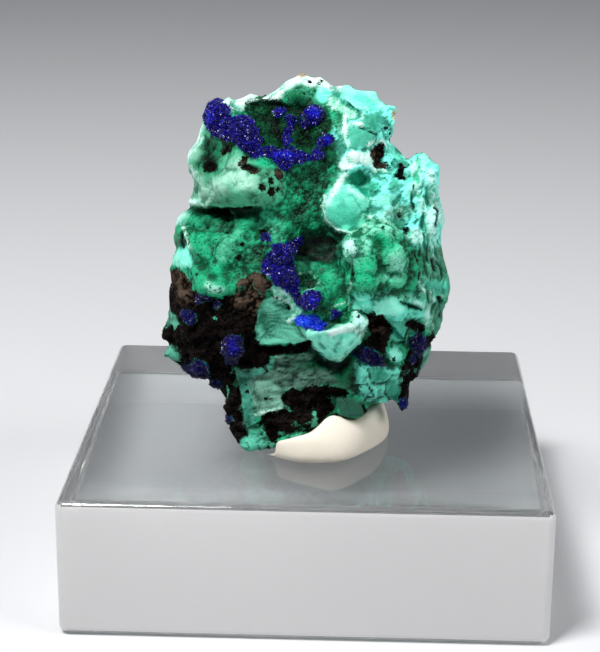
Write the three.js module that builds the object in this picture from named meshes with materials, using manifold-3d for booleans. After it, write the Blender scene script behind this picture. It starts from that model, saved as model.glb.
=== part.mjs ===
// An azurite specimen: malachite, azurite and goethite grown together, held by a blob of putty on a
// clear acrylic block. Millimetres, +Z up, the origin under the middle of the block.
import * as THREE from 'three';
import { mergeVertices } from 'three/addons/utils/BufferGeometryUtils.js';
import { RoundedBoxGeometry } from 'three/addons/geometries/RoundedBoxGeometry.js';
import { ConvexGeometry } from 'three/addons/geometries/ConvexGeometry.js';
import { ImprovedNoise } from 'three/addons/math/ImprovedNoise.js';
import Module from 'manifold-3d';

const wasm = await Module();
wasm.setup();

// Driving dimensions
const blockSide = 31.75;
const blockHeight = 9.3;
const blockRounding = 1.0;
const pieceGap = 0.3; // between the specimen, the putty and the block
const backDepth = 6.0; // the furthest the specimen reaches behind the middle of the block
const bodyDetail = 11; // how finely the specimen's main body is divided
const lumpDetail = 1;

// The specimen is laid out as a person in front of it and a little above sees it: u to the right and
// v upwards, in millimetres on a plane that faces them, and y for the depth, negative towards them.
const eye = { azimuth: 2.0, elevation: 18.03, roll: 0.426, distance: 125.77 };
const eyeTarget = new THREE.Vector3(-0.903, 0, 16.171);
const layoutOrigin = new THREE.Vector3(0, -1, 22);

const toRadians = THREE.MathUtils.degToRad;
const forward = new THREE.Vector3(
  -Math.sin(toRadians(eye.azimuth)) * Math.cos(toRadians(eye.elevation)),
  Math.cos(toRadians(eye.azimuth)) * Math.cos(toRadians(eye.elevation)),
  -Math.sin(toRadians(eye.elevation)),
);
const eyePoint = eyeTarget.clone().addScaledVector(forward, -eye.distance);
const right = new THREE.Vector3(Math.cos(toRadians(eye.azimuth)), Math.sin(toRadians(eye.azimuth)), 0)
  .applyAxisAngle(forward, -toRadians(eye.roll));
const up = new THREE.Vector3().crossVectors(right, forward);

function sight(u, v, y) {
  const point = layoutOrigin.clone().addScaledVector(right, u).addScaledVector(up, v);
  const along = (y - eyePoint.y) / (point.y - eyePoint.y);
  return point.sub(eyePoint).multiplyScalar(along).add(eyePoint);
}

// Random numbers that come out the same each time
function randomFrom(seed) {
  let state = seed;
  return () => {
    state = (state * 1664525 + 1013904223) % 4294967296;
    return state / 4294967296;
  };
}

const noise = new ImprovedNoise();
function roughness(point, cell) {
  const half = cell / 2;
  const coarse = noise.noise(point.x / cell, point.y / cell, point.z / cell);
  return coarse + 0.5 * noise.noise(point.x / half + 9, point.y / half + 4, point.z / half);
}

// The outline in u and v, clockwise from the peak at the upper left
const outline = [
  [-6.7, 10.4], [-5.8, 10.4], [-4.3, 10.7], [-3.77, 10.4], [-2.6, 10.9], [-1.8, 11.6], [-0.8, 12.0],
  [0.5, 11.8], [1.6, 11.2], [2.8, 11.0], [4.3, 10.8], [4.9, 10.0], [5.75, 9.7], [5.7, 8.8], [5.3, 7.5],
  [6.3, 6.3], [7.1, 6.65], [8.1, 6.1], [8.7, 5.6], [8.55, 4.0], [9.0, 2.2], [8.7, 0.6], [9.4, -2.6],
  [8.9, -4.2], [8.85, -5.3], [8.0, -6.6], [7.8, -7.5], [7.1, -8.9], [6.5, -9.6], [5.6, -10.4],
  [3.95, -10.55], [3.1, -11.6], [1.5, -11.3], [0.6, -12.0], [-1.2, -13.45], [-2.8, -13.8],
  [-4.2, -13.9], [-5.2, -13.4], [-5.9, -12.0], [-6.0, -10.3], [-7.0, -9.3], [-8.9, -8.4],
  [-10.1, -7.2], [-9.8, -6.5], [-10.5, -5.9], [-9.9, -4.4], [-9.6, -1.6], [-9.9, -0.7], [-9.2, 0.15],
  [-9.7, 0.8], [-9.4, 2.1], [-8.4, 3.0], [-8.2, 4.3], [-8.7, 6.2], [-7.8, 7.8], [-7.3, 9.6],
];
const middle = { u: -0.5, v: -1.5 };

// How far the outline lies from the middle in a direction, in radians
function outlineReach(angle) {
  const direction = [Math.cos(angle), Math.sin(angle)];
  let reach = 0;
  outline.forEach((start, i) => {
    const end = outline[(i + 1) % outline.length];
    const edge = [end[0] - start[0], end[1] - start[1]];
    const from = [start[0] - middle.u, start[1] - middle.v];
    const cross = direction[0] * edge[1] - direction[1] * edge[0];
    const distance = (from[0] * edge[1] - from[1] * edge[0]) / cross;
    const share = (from[0] * direction[1] - from[1] * direction[0]) / cross;
    if (distance > 0 && share >= 0 && share <= 1) reach = Math.max(reach, distance);
  });
  return reach;
}

function between(stations, value) {
  const last = stations.length - 1;
  if (value <= stations[0][0]) return stations[0][1];
  for (let i = 0; i < last; i += 1) {
    const [start, startY] = stations[i];
    const [end, endY] = stations[i + 1];
    if (value <= end) return startY + (endY - startY) * THREE.MathUtils.smoothstep(value, start, end);
  }
  return stations[last][1];
}

// Depth of the outline's edge and of the front face, from the foot up to the crest
const edgeDepths = [[-13.2, -7.4], [-11.6, -6.6], [-9.5, -3.4], [-6, -1.6], [6, -1.2], [11, -0.6]];
const faceDepths = [[-14, -7.6], [-8, -7.8], [-5, -8.6], [-1, -8.5], [3, -7.4], [8, -6.8], [11.8, -3.0]];

// Swellings (+) and hollows (-) of the front face: [u, v, half width, half height, tilt, height]
const swellings = {
  velvetHollow: [-2.0, 8.5, 2.9, 1.6, -4, -1.9],
  azuriteShoulder: [-5.6, 8.5, 1.9, 1.1, -35, 0.7],
  topCrest: [-2.2, 10.8, 4.2, 0.5, 6, 0.7],
  mintPlate: [3.4, 10.3, 1.6, 0.8, -8, 0.9],
  roughCorner: [4.4, 8.6, 1.2, 0.9, 0, 0.3],
  whiteShelf: [3.0, 6.3, 1.1, 0.5, 0, 0.8],
  brownPocket: [4.5, 6.6, 0.6, 0.5, 0, -0.8],
  blackPocket: [6.0, 5.3, 0.4, 0.7, 0, -0.7],
  pillow: [-5.4, 4.9, 3.1, 1.7, -8, 1.6],
  grainyMiddle: [-0.4, 4.0, 1.3, 1.7, 0, -1.2],
  darkHollow: [3.2, 4.9, 0.6, 0.5, 0, -0.9],
  underPillow: [-6.2, 2.0, 2.9, 0.7, -5, -1.5],
  diagonalRidge: [-5.4, 0.6, 0.6, 1.9, -32, 0.8],
  greenLobe: [-9.0, 1.0, 0.8, 0.7, 0, 0.6],
  centreHollow: [0.1, 0.1, 2.0, 2.2, 0, -1.7],
  rightLumps: [4.3, -0.6, 2.1, 2.4, 0, 0.9],
  rightColumn: [7.8, 3.4, 0.9, 3.0, 0, 0.9],
  rightValley: [6.1, 2.2, 0.6, 1.6, 0, -0.7],
  fibrousSide: [8.2, -1.6, 0.9, 1.5, 0, 0.4],
  turquoiseBand: [5.0, -4.0, 2.4, 0.6, -4, 0.8],
  cornerLump: [8.1, -4.4, 0.8, 1.0, 0, 0.5],
  satinFan: [-2.4, -5.0, 1.6, 1.2, 0, -0.6],
  goethiteSwell: [-7.2, -5.8, 2.4, 2.2, 0, 0.5],
  goethiteWaist: [-7.5, -8.6, 1.5, 0.5, 30, -0.6],
  underLedge: [-0.6, -7.4, 2.6, 0.6, 4, -1.3],
  layeredFace: [-1.0, -9.0, 2.6, 1.1, 0, -0.4],
  lowerBand: [0.2, -10.3, 2.1, 0.6, 5, -1.2],
  tealLens: [2.3, -10.6, 1.1, 0.7, -15, 0.5],
  footKnob: [-4.2, -13.3, 0.9, 0.6, 0, 0.2],
};

function swelling(u, v) {
  let height = 0;
  for (const [centreU, centreV, halfWidth, halfHeight, tilt, rise] of Object.values(swellings)) {
    const cosine = Math.cos(toRadians(tilt));
    const sine = Math.sin(toRadians(tilt));
    const along = ((u - centreU) * cosine + (v - centreV) * sine) / halfWidth;
    const across = ((v - centreV) * cosine - (u - centreU) * sine) / halfHeight;
    height += rise * (1 - THREE.MathUtils.smoothstep(Math.hypot(along, across), 0.5, 1.3));
  }
  return height;
}

// Depth of the front face at a place, rounding back to the outline at its edge
function frontDepth(u, v) {
  const angle = Math.atan2(v - middle.v, u - middle.u);
  const reach = outlineReach(angle);
  const share = Math.min(1, Math.hypot(u - middle.u, v - middle.v) / reach);
  const edge = between(edgeDepths, middle.v + reach * Math.sin(angle));
  const roundness = Math.pow(1 - Math.pow(share, 3.2), 0.45);
  return edge + (between(faceDepths, v) - edge) * roundness - swelling(u, v) * roundness;
}

function geometryOf(vertices, triangles) {
  const geometry = new THREE.BufferGeometry();
  geometry.setAttribute('position', new THREE.BufferAttribute(vertices, 3));
  geometry.setIndex(new THREE.BufferAttribute(triangles, 1));
  return geometry;
}

function closed(geometry) {
  geometry.deleteAttribute('normal');
  geometry.deleteAttribute('uv');
  return mergeVertices(geometry, 1e-4);
}

function solidOf(geometry) {
  const merged = closed(geometry);
  return new wasm.Manifold(new wasm.Mesh({
    numProp: 3,
    vertProperties: new Float32Array(merged.attributes.position.array),
    triVerts: new Uint32Array(merged.index.array),
  }));
}

function moveEach(geometry, move) {
  const position = geometry.attributes.position;
  const point = new THREE.Vector3();
  for (let i = 0; i < position.count; i += 1) {
    move(point.fromBufferAttribute(position, i));
    position.setXYZ(i, point.x, point.y, point.z);
  }
  return geometry;
}

// The main body: a ball pulled out to the outline, with the front face's relief and a rough back
function bodyGeometry(detail, grow) {
  const geometry = closed(new THREE.IcosahedronGeometry(1, detail));
  const centre = sight(middle.u, middle.v, 0);
  return moveEach(geometry, (point) => {
    const angle = Math.atan2(point.z, point.x);
    const share = Math.pow(Math.hypot(point.x, point.z), 0.85);
    const reach = outlineReach(angle) + grow;
    const edgeU = middle.u + reach * Math.cos(angle);
    const edgeV = middle.v + reach * Math.sin(angle);
    const edgeY = between(edgeDepths, edgeV);
    if (point.y < 0) {
      const u = middle.u + (edgeU - middle.u) * share;
      const v = middle.v + (edgeV - middle.v) * share;
      point.copy(sight(u, v, Math.min(edgeY, frontDepth(u, v)) - grow));
      point.y += 0.25 * roughness(point, 2.6) * (1 - share ** 8);
    } else {
      const edge = sight(edgeU, edgeV, edgeY);
      const back = Math.pow(point.y, 0.62);
      const swell = 0.9 * roughness(edge.clone().addScaledVector(point, 3), 4.2) * back;
      point.copy(centre).lerp(edge, share * (1 + 0.06 * swell));
      point.y = edgeY + (backDepth - 0.9 + swell + grow - edgeY) * back;
    }
  });
}

// An uneven lump on the surface, its middle a given depth below it
function lump(u, v, halfWidth, halfHeight, halfDepth, sink, detail = lumpDetail) {
  const centre = sight(u, v, frontDepth(u, v) + sink);
  const geometry = closed(new THREE.IcosahedronGeometry(1, detail));
  return solidOf(moveEach(geometry, (point) => {
    const swell = 1 + 0.12 * roughness(point.clone().add(centre), 1.3);
    point.set(point.x * halfWidth, point.y * halfDepth, point.z * halfHeight);
    point.multiplyScalar(swell).add(centre);
  }));
}

// A plate with broken flat faces, from its corners seen from the front and how proud each one stands
function brokenPlate(corners, thickness) {
  const points = corners.flatMap(([u, v, proud]) => {
    const surface = frontDepth(u, v);
    return [sight(u, v, surface - proud), sight(u, v, surface + thickness)];
  });
  return solidOf(new ConvexGeometry(points));
}

// One azurite crystal: a slanting block with a wedge-shaped end
function crystal(place, direction, turn, size) {
  const geometry = closed(new THREE.BoxGeometry(size.width, size.thickness, size.length));
  const facing = new THREE.Quaternion().setFromUnitVectors(new THREE.Vector3(0, 0, 1), direction);
  facing.multiply(new THREE.Quaternion().setFromAxisAngle(new THREE.Vector3(0, 0, 1), turn));
  return solidOf(moveEach(geometry, (point) => {
    if (point.z > 0) {
      point.x = point.x * 0.55 + size.width * 0.12;
      point.y *= 0.7;
      point.z += point.x * 0.35;
    }
    point.applyQuaternion(facing).add(place);
  }));
}

// Where the azurite grew: [u, v, half width, half height, tilt, crystals, crystal length]
const azuriteGroups = [
  [-6.2, 9.0, 1.0, 1.1, 30, 8, 1.7], [-4.9, 7.9, 1.2, 0.9, -35, 7, 1.6],
  [-2.9, 6.6, 1.0, 0.3, -10, 4, 1.2], [-1.0, 6.5, 1.3, 0.3, -12, 5, 1.1],
  [-1.8, 8.3, 0.3, 1.0, 12, 4, 1.1], [-0.2, 9.1, 0.5, 0.5, 0, 4, 1.1],
  [0.9, 7.4, 0.3, 0.2, 20, 1, 0.9], [-2.2, -0.2, 1.0, 0.7, 25, 5, 1.4],
  [-2.5, -1.7, 1.0, 0.8, -40, 5, 1.4], [-0.1, -3.4, 0.4, 0.4, 0, 3, 1.1],
  [-0.3, -4.9, 1.1, 0.4, -6, 5, 1.1], [-5.5, -6.5, 0.4, 0.8, -8, 4, 1.3],
  [4.0, -7.4, 0.9, 0.4, -12, 3, 1.2], [7.2, -6.7, 0.3, 0.7, 15, 3, 1.2], [-7.5, -8.2, 0.5, 0.3, 20, 2, 1.1],
];

function azuriteCrystals() {
  const random = randomFrom(37);
  const crystals = [];
  for (const [centreU, centreV, halfWidth, halfHeight, tilt, count, length] of azuriteGroups) {
    for (let i = 0; i < count; i += 1) {
      const distance = Math.sqrt((i + 0.5) / count);
      const angle = i * 2.4 + random();
      const along = halfWidth * distance * Math.cos(angle);
      const across = halfHeight * distance * Math.sin(angle);
      const u = centreU + along * Math.cos(toRadians(tilt)) - across * Math.sin(toRadians(tilt));
      const v = centreV + along * Math.sin(toRadians(tilt)) + across * Math.cos(toRadians(tilt));
      const scale = length * (0.75 + 0.5 * random());
      const direction = new THREE.Vector3(1.5 * (random() - 0.5), -1, 1.5 * (random() - 0.4)).normalize();
      const place = sight(u, v, frontDepth(u, v) + 0.08 * scale);
      const size = { width: 0.62 * scale, thickness: 0.42 * scale, length: scale };
      crystals.push(crystal(place, direction, 6.28 * random(), size));
    }
  }
  return crystals;
}

// Hollows deep enough to have walls of their own
const cavities = () => [
  lump(-6.3, 2.55, 2.1, 0.38, 1.5, 0.2), // under the pillow's lip
  lump(0.4, 0.2, 1.5, 0.95, 2.6, 0.4), // the dark cavity in the middle
  lump(-0.45, -2.15, 0.6, 0.4, 1.0, 0),
  lump(4.3, -5.6, 0.75, 1.05, 2.2, 0.2), // the deep recess at the lower right
  lump(-1.6, -6.95, 1.3, 0.3, 1.4, 0), // below the ledge
];

// Lumps that stand out from the front face: the lobes, the knobs and the stalk
const frontLumps = () => [
  lump(2.2, 2.9, 1.55, 1.6, 0.9, 0.2, 2), // the round lobe with its raised rim
  lump(3.4, -1.8, 0.95, 1.4, 1.1, 0.1),
  lump(5.4, -0.4, 0.75, 0.75, 0.8, 0.1),
  lump(4.7, 1.0, 0.7, 0.7, 0.8, 0.1),
  lump(2.45, 0.05, 0.55, 1.0, 0.9, 0.1),
  lump(-6.6, -2.2, 1.15, 1.0, 0.9, 0.2),
  lump(-8.4, -5.2, 1.0, 0.9, 0.8, 0.3),
  lump(-6.5, -4.9, 0.9, 0.8, 0.7, 0.3),
  lump(-7.0, -7.0, 1.1, 0.8, 0.8, 0.3),
  lump(-4.9, -4.6, 0.7, 0.9, 0.6, 0.2),
  lump(-5.5, -10.3, 0.5, 1.4, 0.7, 0.4),
  lump(-4.2, -13.0, 0.8, 0.45, 0.8, 0.6),
  lump(6.3, -9.6, 0.35, 1.35, 0.6, -0.3), // the dark stalk
  lump(-0.8, 10.7, 0.6, 0.5, 0.8, 0.2),
  lump(7.7, 4.9, 0.7, 1.1, 0.8, 0.2),
  lump(8.0, 2.2, 0.6, 1.2, 0.8, 0.2),
];

const plates = () => [
  brokenPlate([[1.7, 11.0, 0.5], [3.0, 10.8, 0.6], [4.3, 10.5, 0.4], [4.8, 9.9, 0.5], [3.0, 9.5, 0.7],
    [2.1, 10.3, 0.8]], 1.5), // the mint plate at the top
  brokenPlate([[-0.7, -5.6, 0.3], [0.8, -5.5, 1.2], [2.5, -5.1, 1.3], [3.6, -5.0, 0.6],
    [3.2, -6.1, 1.0], [1.95, -7.5, 1.1], [0.9, -7.4, 0.9], [-0.3, -6.1, 0.8]], 2.4), // the jagged ledge
  brokenPlate([[2.9, -4.3, 0.5], [3.7, -4.7, 0.6], [2.9, -5.6, 1.0], [1.9, -5.2, 0.9]], 2.0),
  brokenPlate([[3.0, -7.9, 0.8], [4.4, -7.9, 0.5], [4.3, -9.4, 0.3], [3.1, -9.2, 0.7]], 2.0),
  brokenPlate([[4.5, -7.8, 0.3], [5.9, -8.2, 0.6], [5.7, -9.5, 0.7], [4.5, -9.2, 0.2]], 2.0),
  brokenPlate([[3.2, -9.3, 0.2], [4.5, -9.5, 0.6], [4.3, -10.3, 0.7], [3.5, -10.2, 0.3]], 1.6),
  brokenPlate([[-9.8, -6.2, 0.5], [-9.2, -6.4, 0.6], [-9.1, -7.4, 0.4], [-9.7, -7.2, 0.5]], 1.5),
];

// Broad lumps around the sides, the top and the back, in x, y and z with their half sizes
const backLumps = [
  [-4.5, 3.0, 28.0, 4.2, 2.9, 3.4], [3.6, 2.8, 26.4, 4.0, 3.1, 4.0], [-5.6, 2.6, 19.6, 3.8, 3.2, 3.6],
  [3.4, 2.6, 17.2, 4.6, 3.4, 3.6], [-1.0, 1.2, 31.6, 3.2, 2.6, 2.0], [8.0, 1.2, 23.4, 1.6, 3.0, 4.2],
];

function backLump([x, y, z, halfWidth, halfDepth, halfHeight]) {
  const geometry = closed(new THREE.IcosahedronGeometry(1, 2));
  const centre = new THREE.Vector3(x, y, z);
  return solidOf(moveEach(geometry, (point) => {
    const swell = 1 + 0.16 * roughness(point.clone().multiplyScalar(3).add(centre), 2.6);
    point.set(point.x * halfWidth, point.y * halfDepth, point.z * halfHeight);
    point.multiplyScalar(swell).add(centre);
  }));
}

// Flat faces where the specimen broke from its vein: the way each one faces, in degrees round from
// the back and above the horizon, and how far it lies from the specimen's middle
const fractures = [
  { around: 4, above: 8, distance: 5.7 }, { around: -38, above: 12, distance: 7.7 },
  { around: 42, above: -4, distance: 7.6 }, { around: -14, above: 48, distance: 9.2 },
  { around: 24, above: -42, distance: 9.0 }, { around: -60, above: -22, distance: 9.2 },
];
const specimenMiddle = new THREE.Vector3(-0.4, 0, 22);

function fractureCut({ around, above, distance }) {
  const size = 30;
  const facing = new THREE.Vector3(
    Math.sin(toRadians(around)) * Math.cos(toRadians(above)),
    Math.cos(toRadians(around)) * Math.cos(toRadians(above)),
    Math.sin(toRadians(above)),
  );
  const turn = new THREE.Quaternion().setFromUnitVectors(new THREE.Vector3(0, 0, 1), facing);
  return solidOf(moveEach(closed(new THREE.BoxGeometry(size, size, size)), (point) => {
    point.applyQuaternion(turn).addScaledVector(facing, distance + size / 2).add(specimenMiddle);
  }));
}

function specimenSolid() {
  let solid = solidOf(bodyGeometry(bodyDetail, 0));
  for (const piece of backLumps.map(backLump)) solid = solid.add(piece);
  for (const cut of fractures.map(fractureCut)) solid = solid.subtract(cut);
  for (const piece of [...frontLumps(), ...plates()]) solid = solid.add(piece);
  for (const cavity of cavities()) solid = solid.subtract(cavity);
  for (const piece of azuriteCrystals()) solid = solid.add(piece);
  const [largest] = solid.decompose().sort((a, b) => b.volume() - a.volume());
  return largest; // without the pinholes that crossing crystals enclose
}

// The putty: a pressed blob under the specimen, hollowed where the specimen sits in it
const putty = { x: 0.3, y: -2.6, halfWidth: 5.0, halfDepth: 6.3, height: 5.4, spread: 0.5 };

function puttySolid() {
  const geometry = closed(new THREE.IcosahedronGeometry(1, 4));
  moveEach(geometry, (point) => {
    const swell = 1 + 0.07 * roughness(point.clone().multiplyScalar(3), 2.2);
    const height = Math.max(0, point.z * putty.height * 1.2 + 0.3);
    const waist = 1 - putty.spread * 0.2 * (height / putty.height) ** 2;
    point.x = putty.x + point.x * putty.halfWidth * swell * waist;
    point.y = putty.y + point.y * putty.halfDepth * swell * waist;
    point.z = blockHeight + height;
  });
  return solidOf(geometry).subtract(solidOf(bodyGeometry(5, pieceGap + 0.15)));
}

function meshOf(name, geometry, finish) {
  const mesh = new THREE.Mesh(geometry, new THREE.MeshStandardMaterial(finish));
  mesh.name = name;
  return mesh;
}

function geometryFrom(solid) {
  const { vertProperties, triVerts } = solid.getMesh();
  return geometryOf(vertProperties, triVerts);
}

const block = new RoundedBoxGeometry(blockSide, blockSide, blockHeight, 2, blockRounding);
block.translate(0, 0, blockHeight / 2);

const specimen = new THREE.Group();
specimen.add(
  meshOf('azurite_specimen', geometryFrom(specimenSolid()), { color: 0x2f7d5c, roughness: 0.7 }),
  meshOf('putty', geometryFrom(puttySolid()), { color: 0xefe4d2, roughness: 0.6 }),
  meshOf('display_block', closed(block), { color: 0xf2f6f6, roughness: 0.05, metalness: 0 }),
);

export default specimen;
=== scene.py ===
import math
import random

import bmesh
import bpy
import numpy as np
from mathutils import Matrix, Vector, noise
from mathutils.bvhtree import BVHTree


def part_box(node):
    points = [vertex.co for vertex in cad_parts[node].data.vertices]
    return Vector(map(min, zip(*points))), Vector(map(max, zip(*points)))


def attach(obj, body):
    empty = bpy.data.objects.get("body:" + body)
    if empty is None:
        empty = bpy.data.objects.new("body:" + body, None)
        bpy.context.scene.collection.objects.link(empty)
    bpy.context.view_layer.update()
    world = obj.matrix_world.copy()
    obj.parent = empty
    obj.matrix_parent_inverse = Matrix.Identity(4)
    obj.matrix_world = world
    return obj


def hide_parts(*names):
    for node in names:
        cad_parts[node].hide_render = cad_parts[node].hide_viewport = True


mm = 0.001
farAway = 1e9
weldDistance = 0.002
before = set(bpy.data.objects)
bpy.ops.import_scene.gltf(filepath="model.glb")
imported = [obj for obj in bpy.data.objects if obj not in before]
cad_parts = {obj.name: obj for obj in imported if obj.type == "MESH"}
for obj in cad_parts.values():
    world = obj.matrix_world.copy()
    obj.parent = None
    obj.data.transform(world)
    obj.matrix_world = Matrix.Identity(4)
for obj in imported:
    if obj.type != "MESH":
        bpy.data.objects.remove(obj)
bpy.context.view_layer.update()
scene = bpy.context.scene

# Where the specimen is seen from, and the plane it is laid out on: u to the right and v up,
# in millimetres, facing the viewer
eye = {"azimuth": 2.0, "elevation": 18.03, "roll": 0.426, "distance": 125.77, "focalPixels": 1793.2}
frameHeight = 652
sensorWidth = 36.0
eyeTarget = Vector((-0.903, 0, 16.171))
layoutOrigin = Vector((0, -1, 22))

turn, rise = math.radians(eye["azimuth"]), math.radians(eye["elevation"])
forward = Vector((-math.sin(turn) * math.cos(rise), math.cos(turn) * math.cos(rise), -math.sin(rise)))
right = Vector((math.cos(turn), math.sin(turn), 0))
right.rotate(Matrix.Rotation(-math.radians(eye["roll"]), 3, forward))
up = right.cross(forward)
eyePoint = eyeTarget - forward * eye["distance"]
layoutDepth = (layoutOrigin - eyePoint).dot(forward)


# Linear colour from an sRGB hex value
def colour(code):
    parts = [int(code[i:i + 2], 16) / 255 for i in (0, 2, 4)]
    return [p / 12.92 if p <= 0.04045 else ((p + 0.055) / 1.055) ** 2.4 for p in parts] + [1.0]


# Where each point shows on the layout plane
def seenAt(points):
    away = points - np.array(eyePoint)
    depth = away @ np.array(forward)
    u = away @ np.array(right) / depth * layoutDepth - (layoutOrigin - eyePoint).dot(right)
    v = away @ np.array(up) / depth * layoutDepth - (layoutOrigin - eyePoint).dot(up)
    return u, v


def sightLine(u, v):
    return (layoutOrigin + right * u + up * v - eyePoint).normalized()


def smoothStep(value, low, high):
    share = np.clip((value - low) / (high - low), 0, 1)
    return share * share * (3 - 2 * share)


# How far each place lies from the line between two others, and the nearest place on it
def nearestOn(u, v, start, end):
    (u0, v0), (u1, v1) = start, end
    du, dv = u1 - u0, v1 - v0
    share = np.clip(((u - u0) * du + (v - v0) * dv) / (du * du + dv * dv), 0, 1)
    return np.hypot(u - u0 - share * du, v - v0 - share * dv), u0 + share * du, v0 + share * dv


# How far each place lies inside a closed outline, negative outside it
def insideBy(u, v, corners):
    closest, inside = np.full(len(u), farAway), np.zeros(len(u), bool)
    for (u0, v0), (u1, v1) in zip(corners, corners[1:] + corners[:1]):
        closest = np.minimum(closest, nearestOn(u, v, (u0, v0), (u1, v1))[0])
        if v1 != v0:
            inside ^= ((v0 > v) != (v1 > v)) & (u < u0 + (v - v0) / (v1 - v0) * (u1 - u0))
    return np.where(inside, closest, -closest)


# How far along and across an oval each place lies, 1 at its edge
def alongAcross(u, v, centreU, centreV, halfWidth, halfHeight, tilt=0):
    c, s = math.cos(math.radians(tilt)), math.sin(math.radians(tilt))
    along = ((u - centreU) * c + (v - centreV) * s) / halfWidth
    return along, ((v - centreV) * c - (u - centreU) * s) / halfHeight


def insideOval(u, v, oval):
    return (1 - np.hypot(*alongAcross(u, v, *oval))) * min(oval[2:4])


# How far inside a stroke of a given half width each place lies
def insideStroke(u, v, stroke):
    points, halfWidth = stroke
    ends = zip(points, points[1:])
    return halfWidth - np.min([nearestOn(u, v, start, end)[0] for start, end in ends], axis=0)


def insideAny(u, v, zone):
    kinds = {"outlines": insideBy, "ovals": insideOval, "strokes": insideStroke}
    return np.max([inside(u, v, shape) for kind, inside in kinds.items()
                   for shape in zone.get(kind, [])], axis=0)


def noiseAt(points, cell, offset=0.0):
    return np.array([noise.noise(Vector(p)) for p in points / cell + offset])


def roughAt(points, cell, fade=0.9, step=2.1, octaves=5):
    return np.array([noise.fractal(Vector(p), fade, step, octaves) for p in points / cell])


# Rounded domes packed side by side, 1 at the top of each and 0 in the grooves between
def domesAt(points, cell, steepness=1.6, roundness=0.6):
    near = np.array([noise.voronoi(Vector(p))[0][:2] for p in points / cell])
    return np.clip((near[:, 1] - near[:, 0]) * steepness, 0, 1) ** roundness


# Flat chips broken at different tilts, each about one cell across
def facetsAt(points, cell, tiltStep=7.3):
    heights, middle = [], Vector((0.5, 0.5, 0.5))
    for p in points / cell:
        nearest = noise.voronoi(Vector(p))[1][0]
        heights.append((Vector(p) - nearest).dot(noise.cell_vector(nearest * tiltStep) - middle))
    return np.array(heights)


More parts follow.
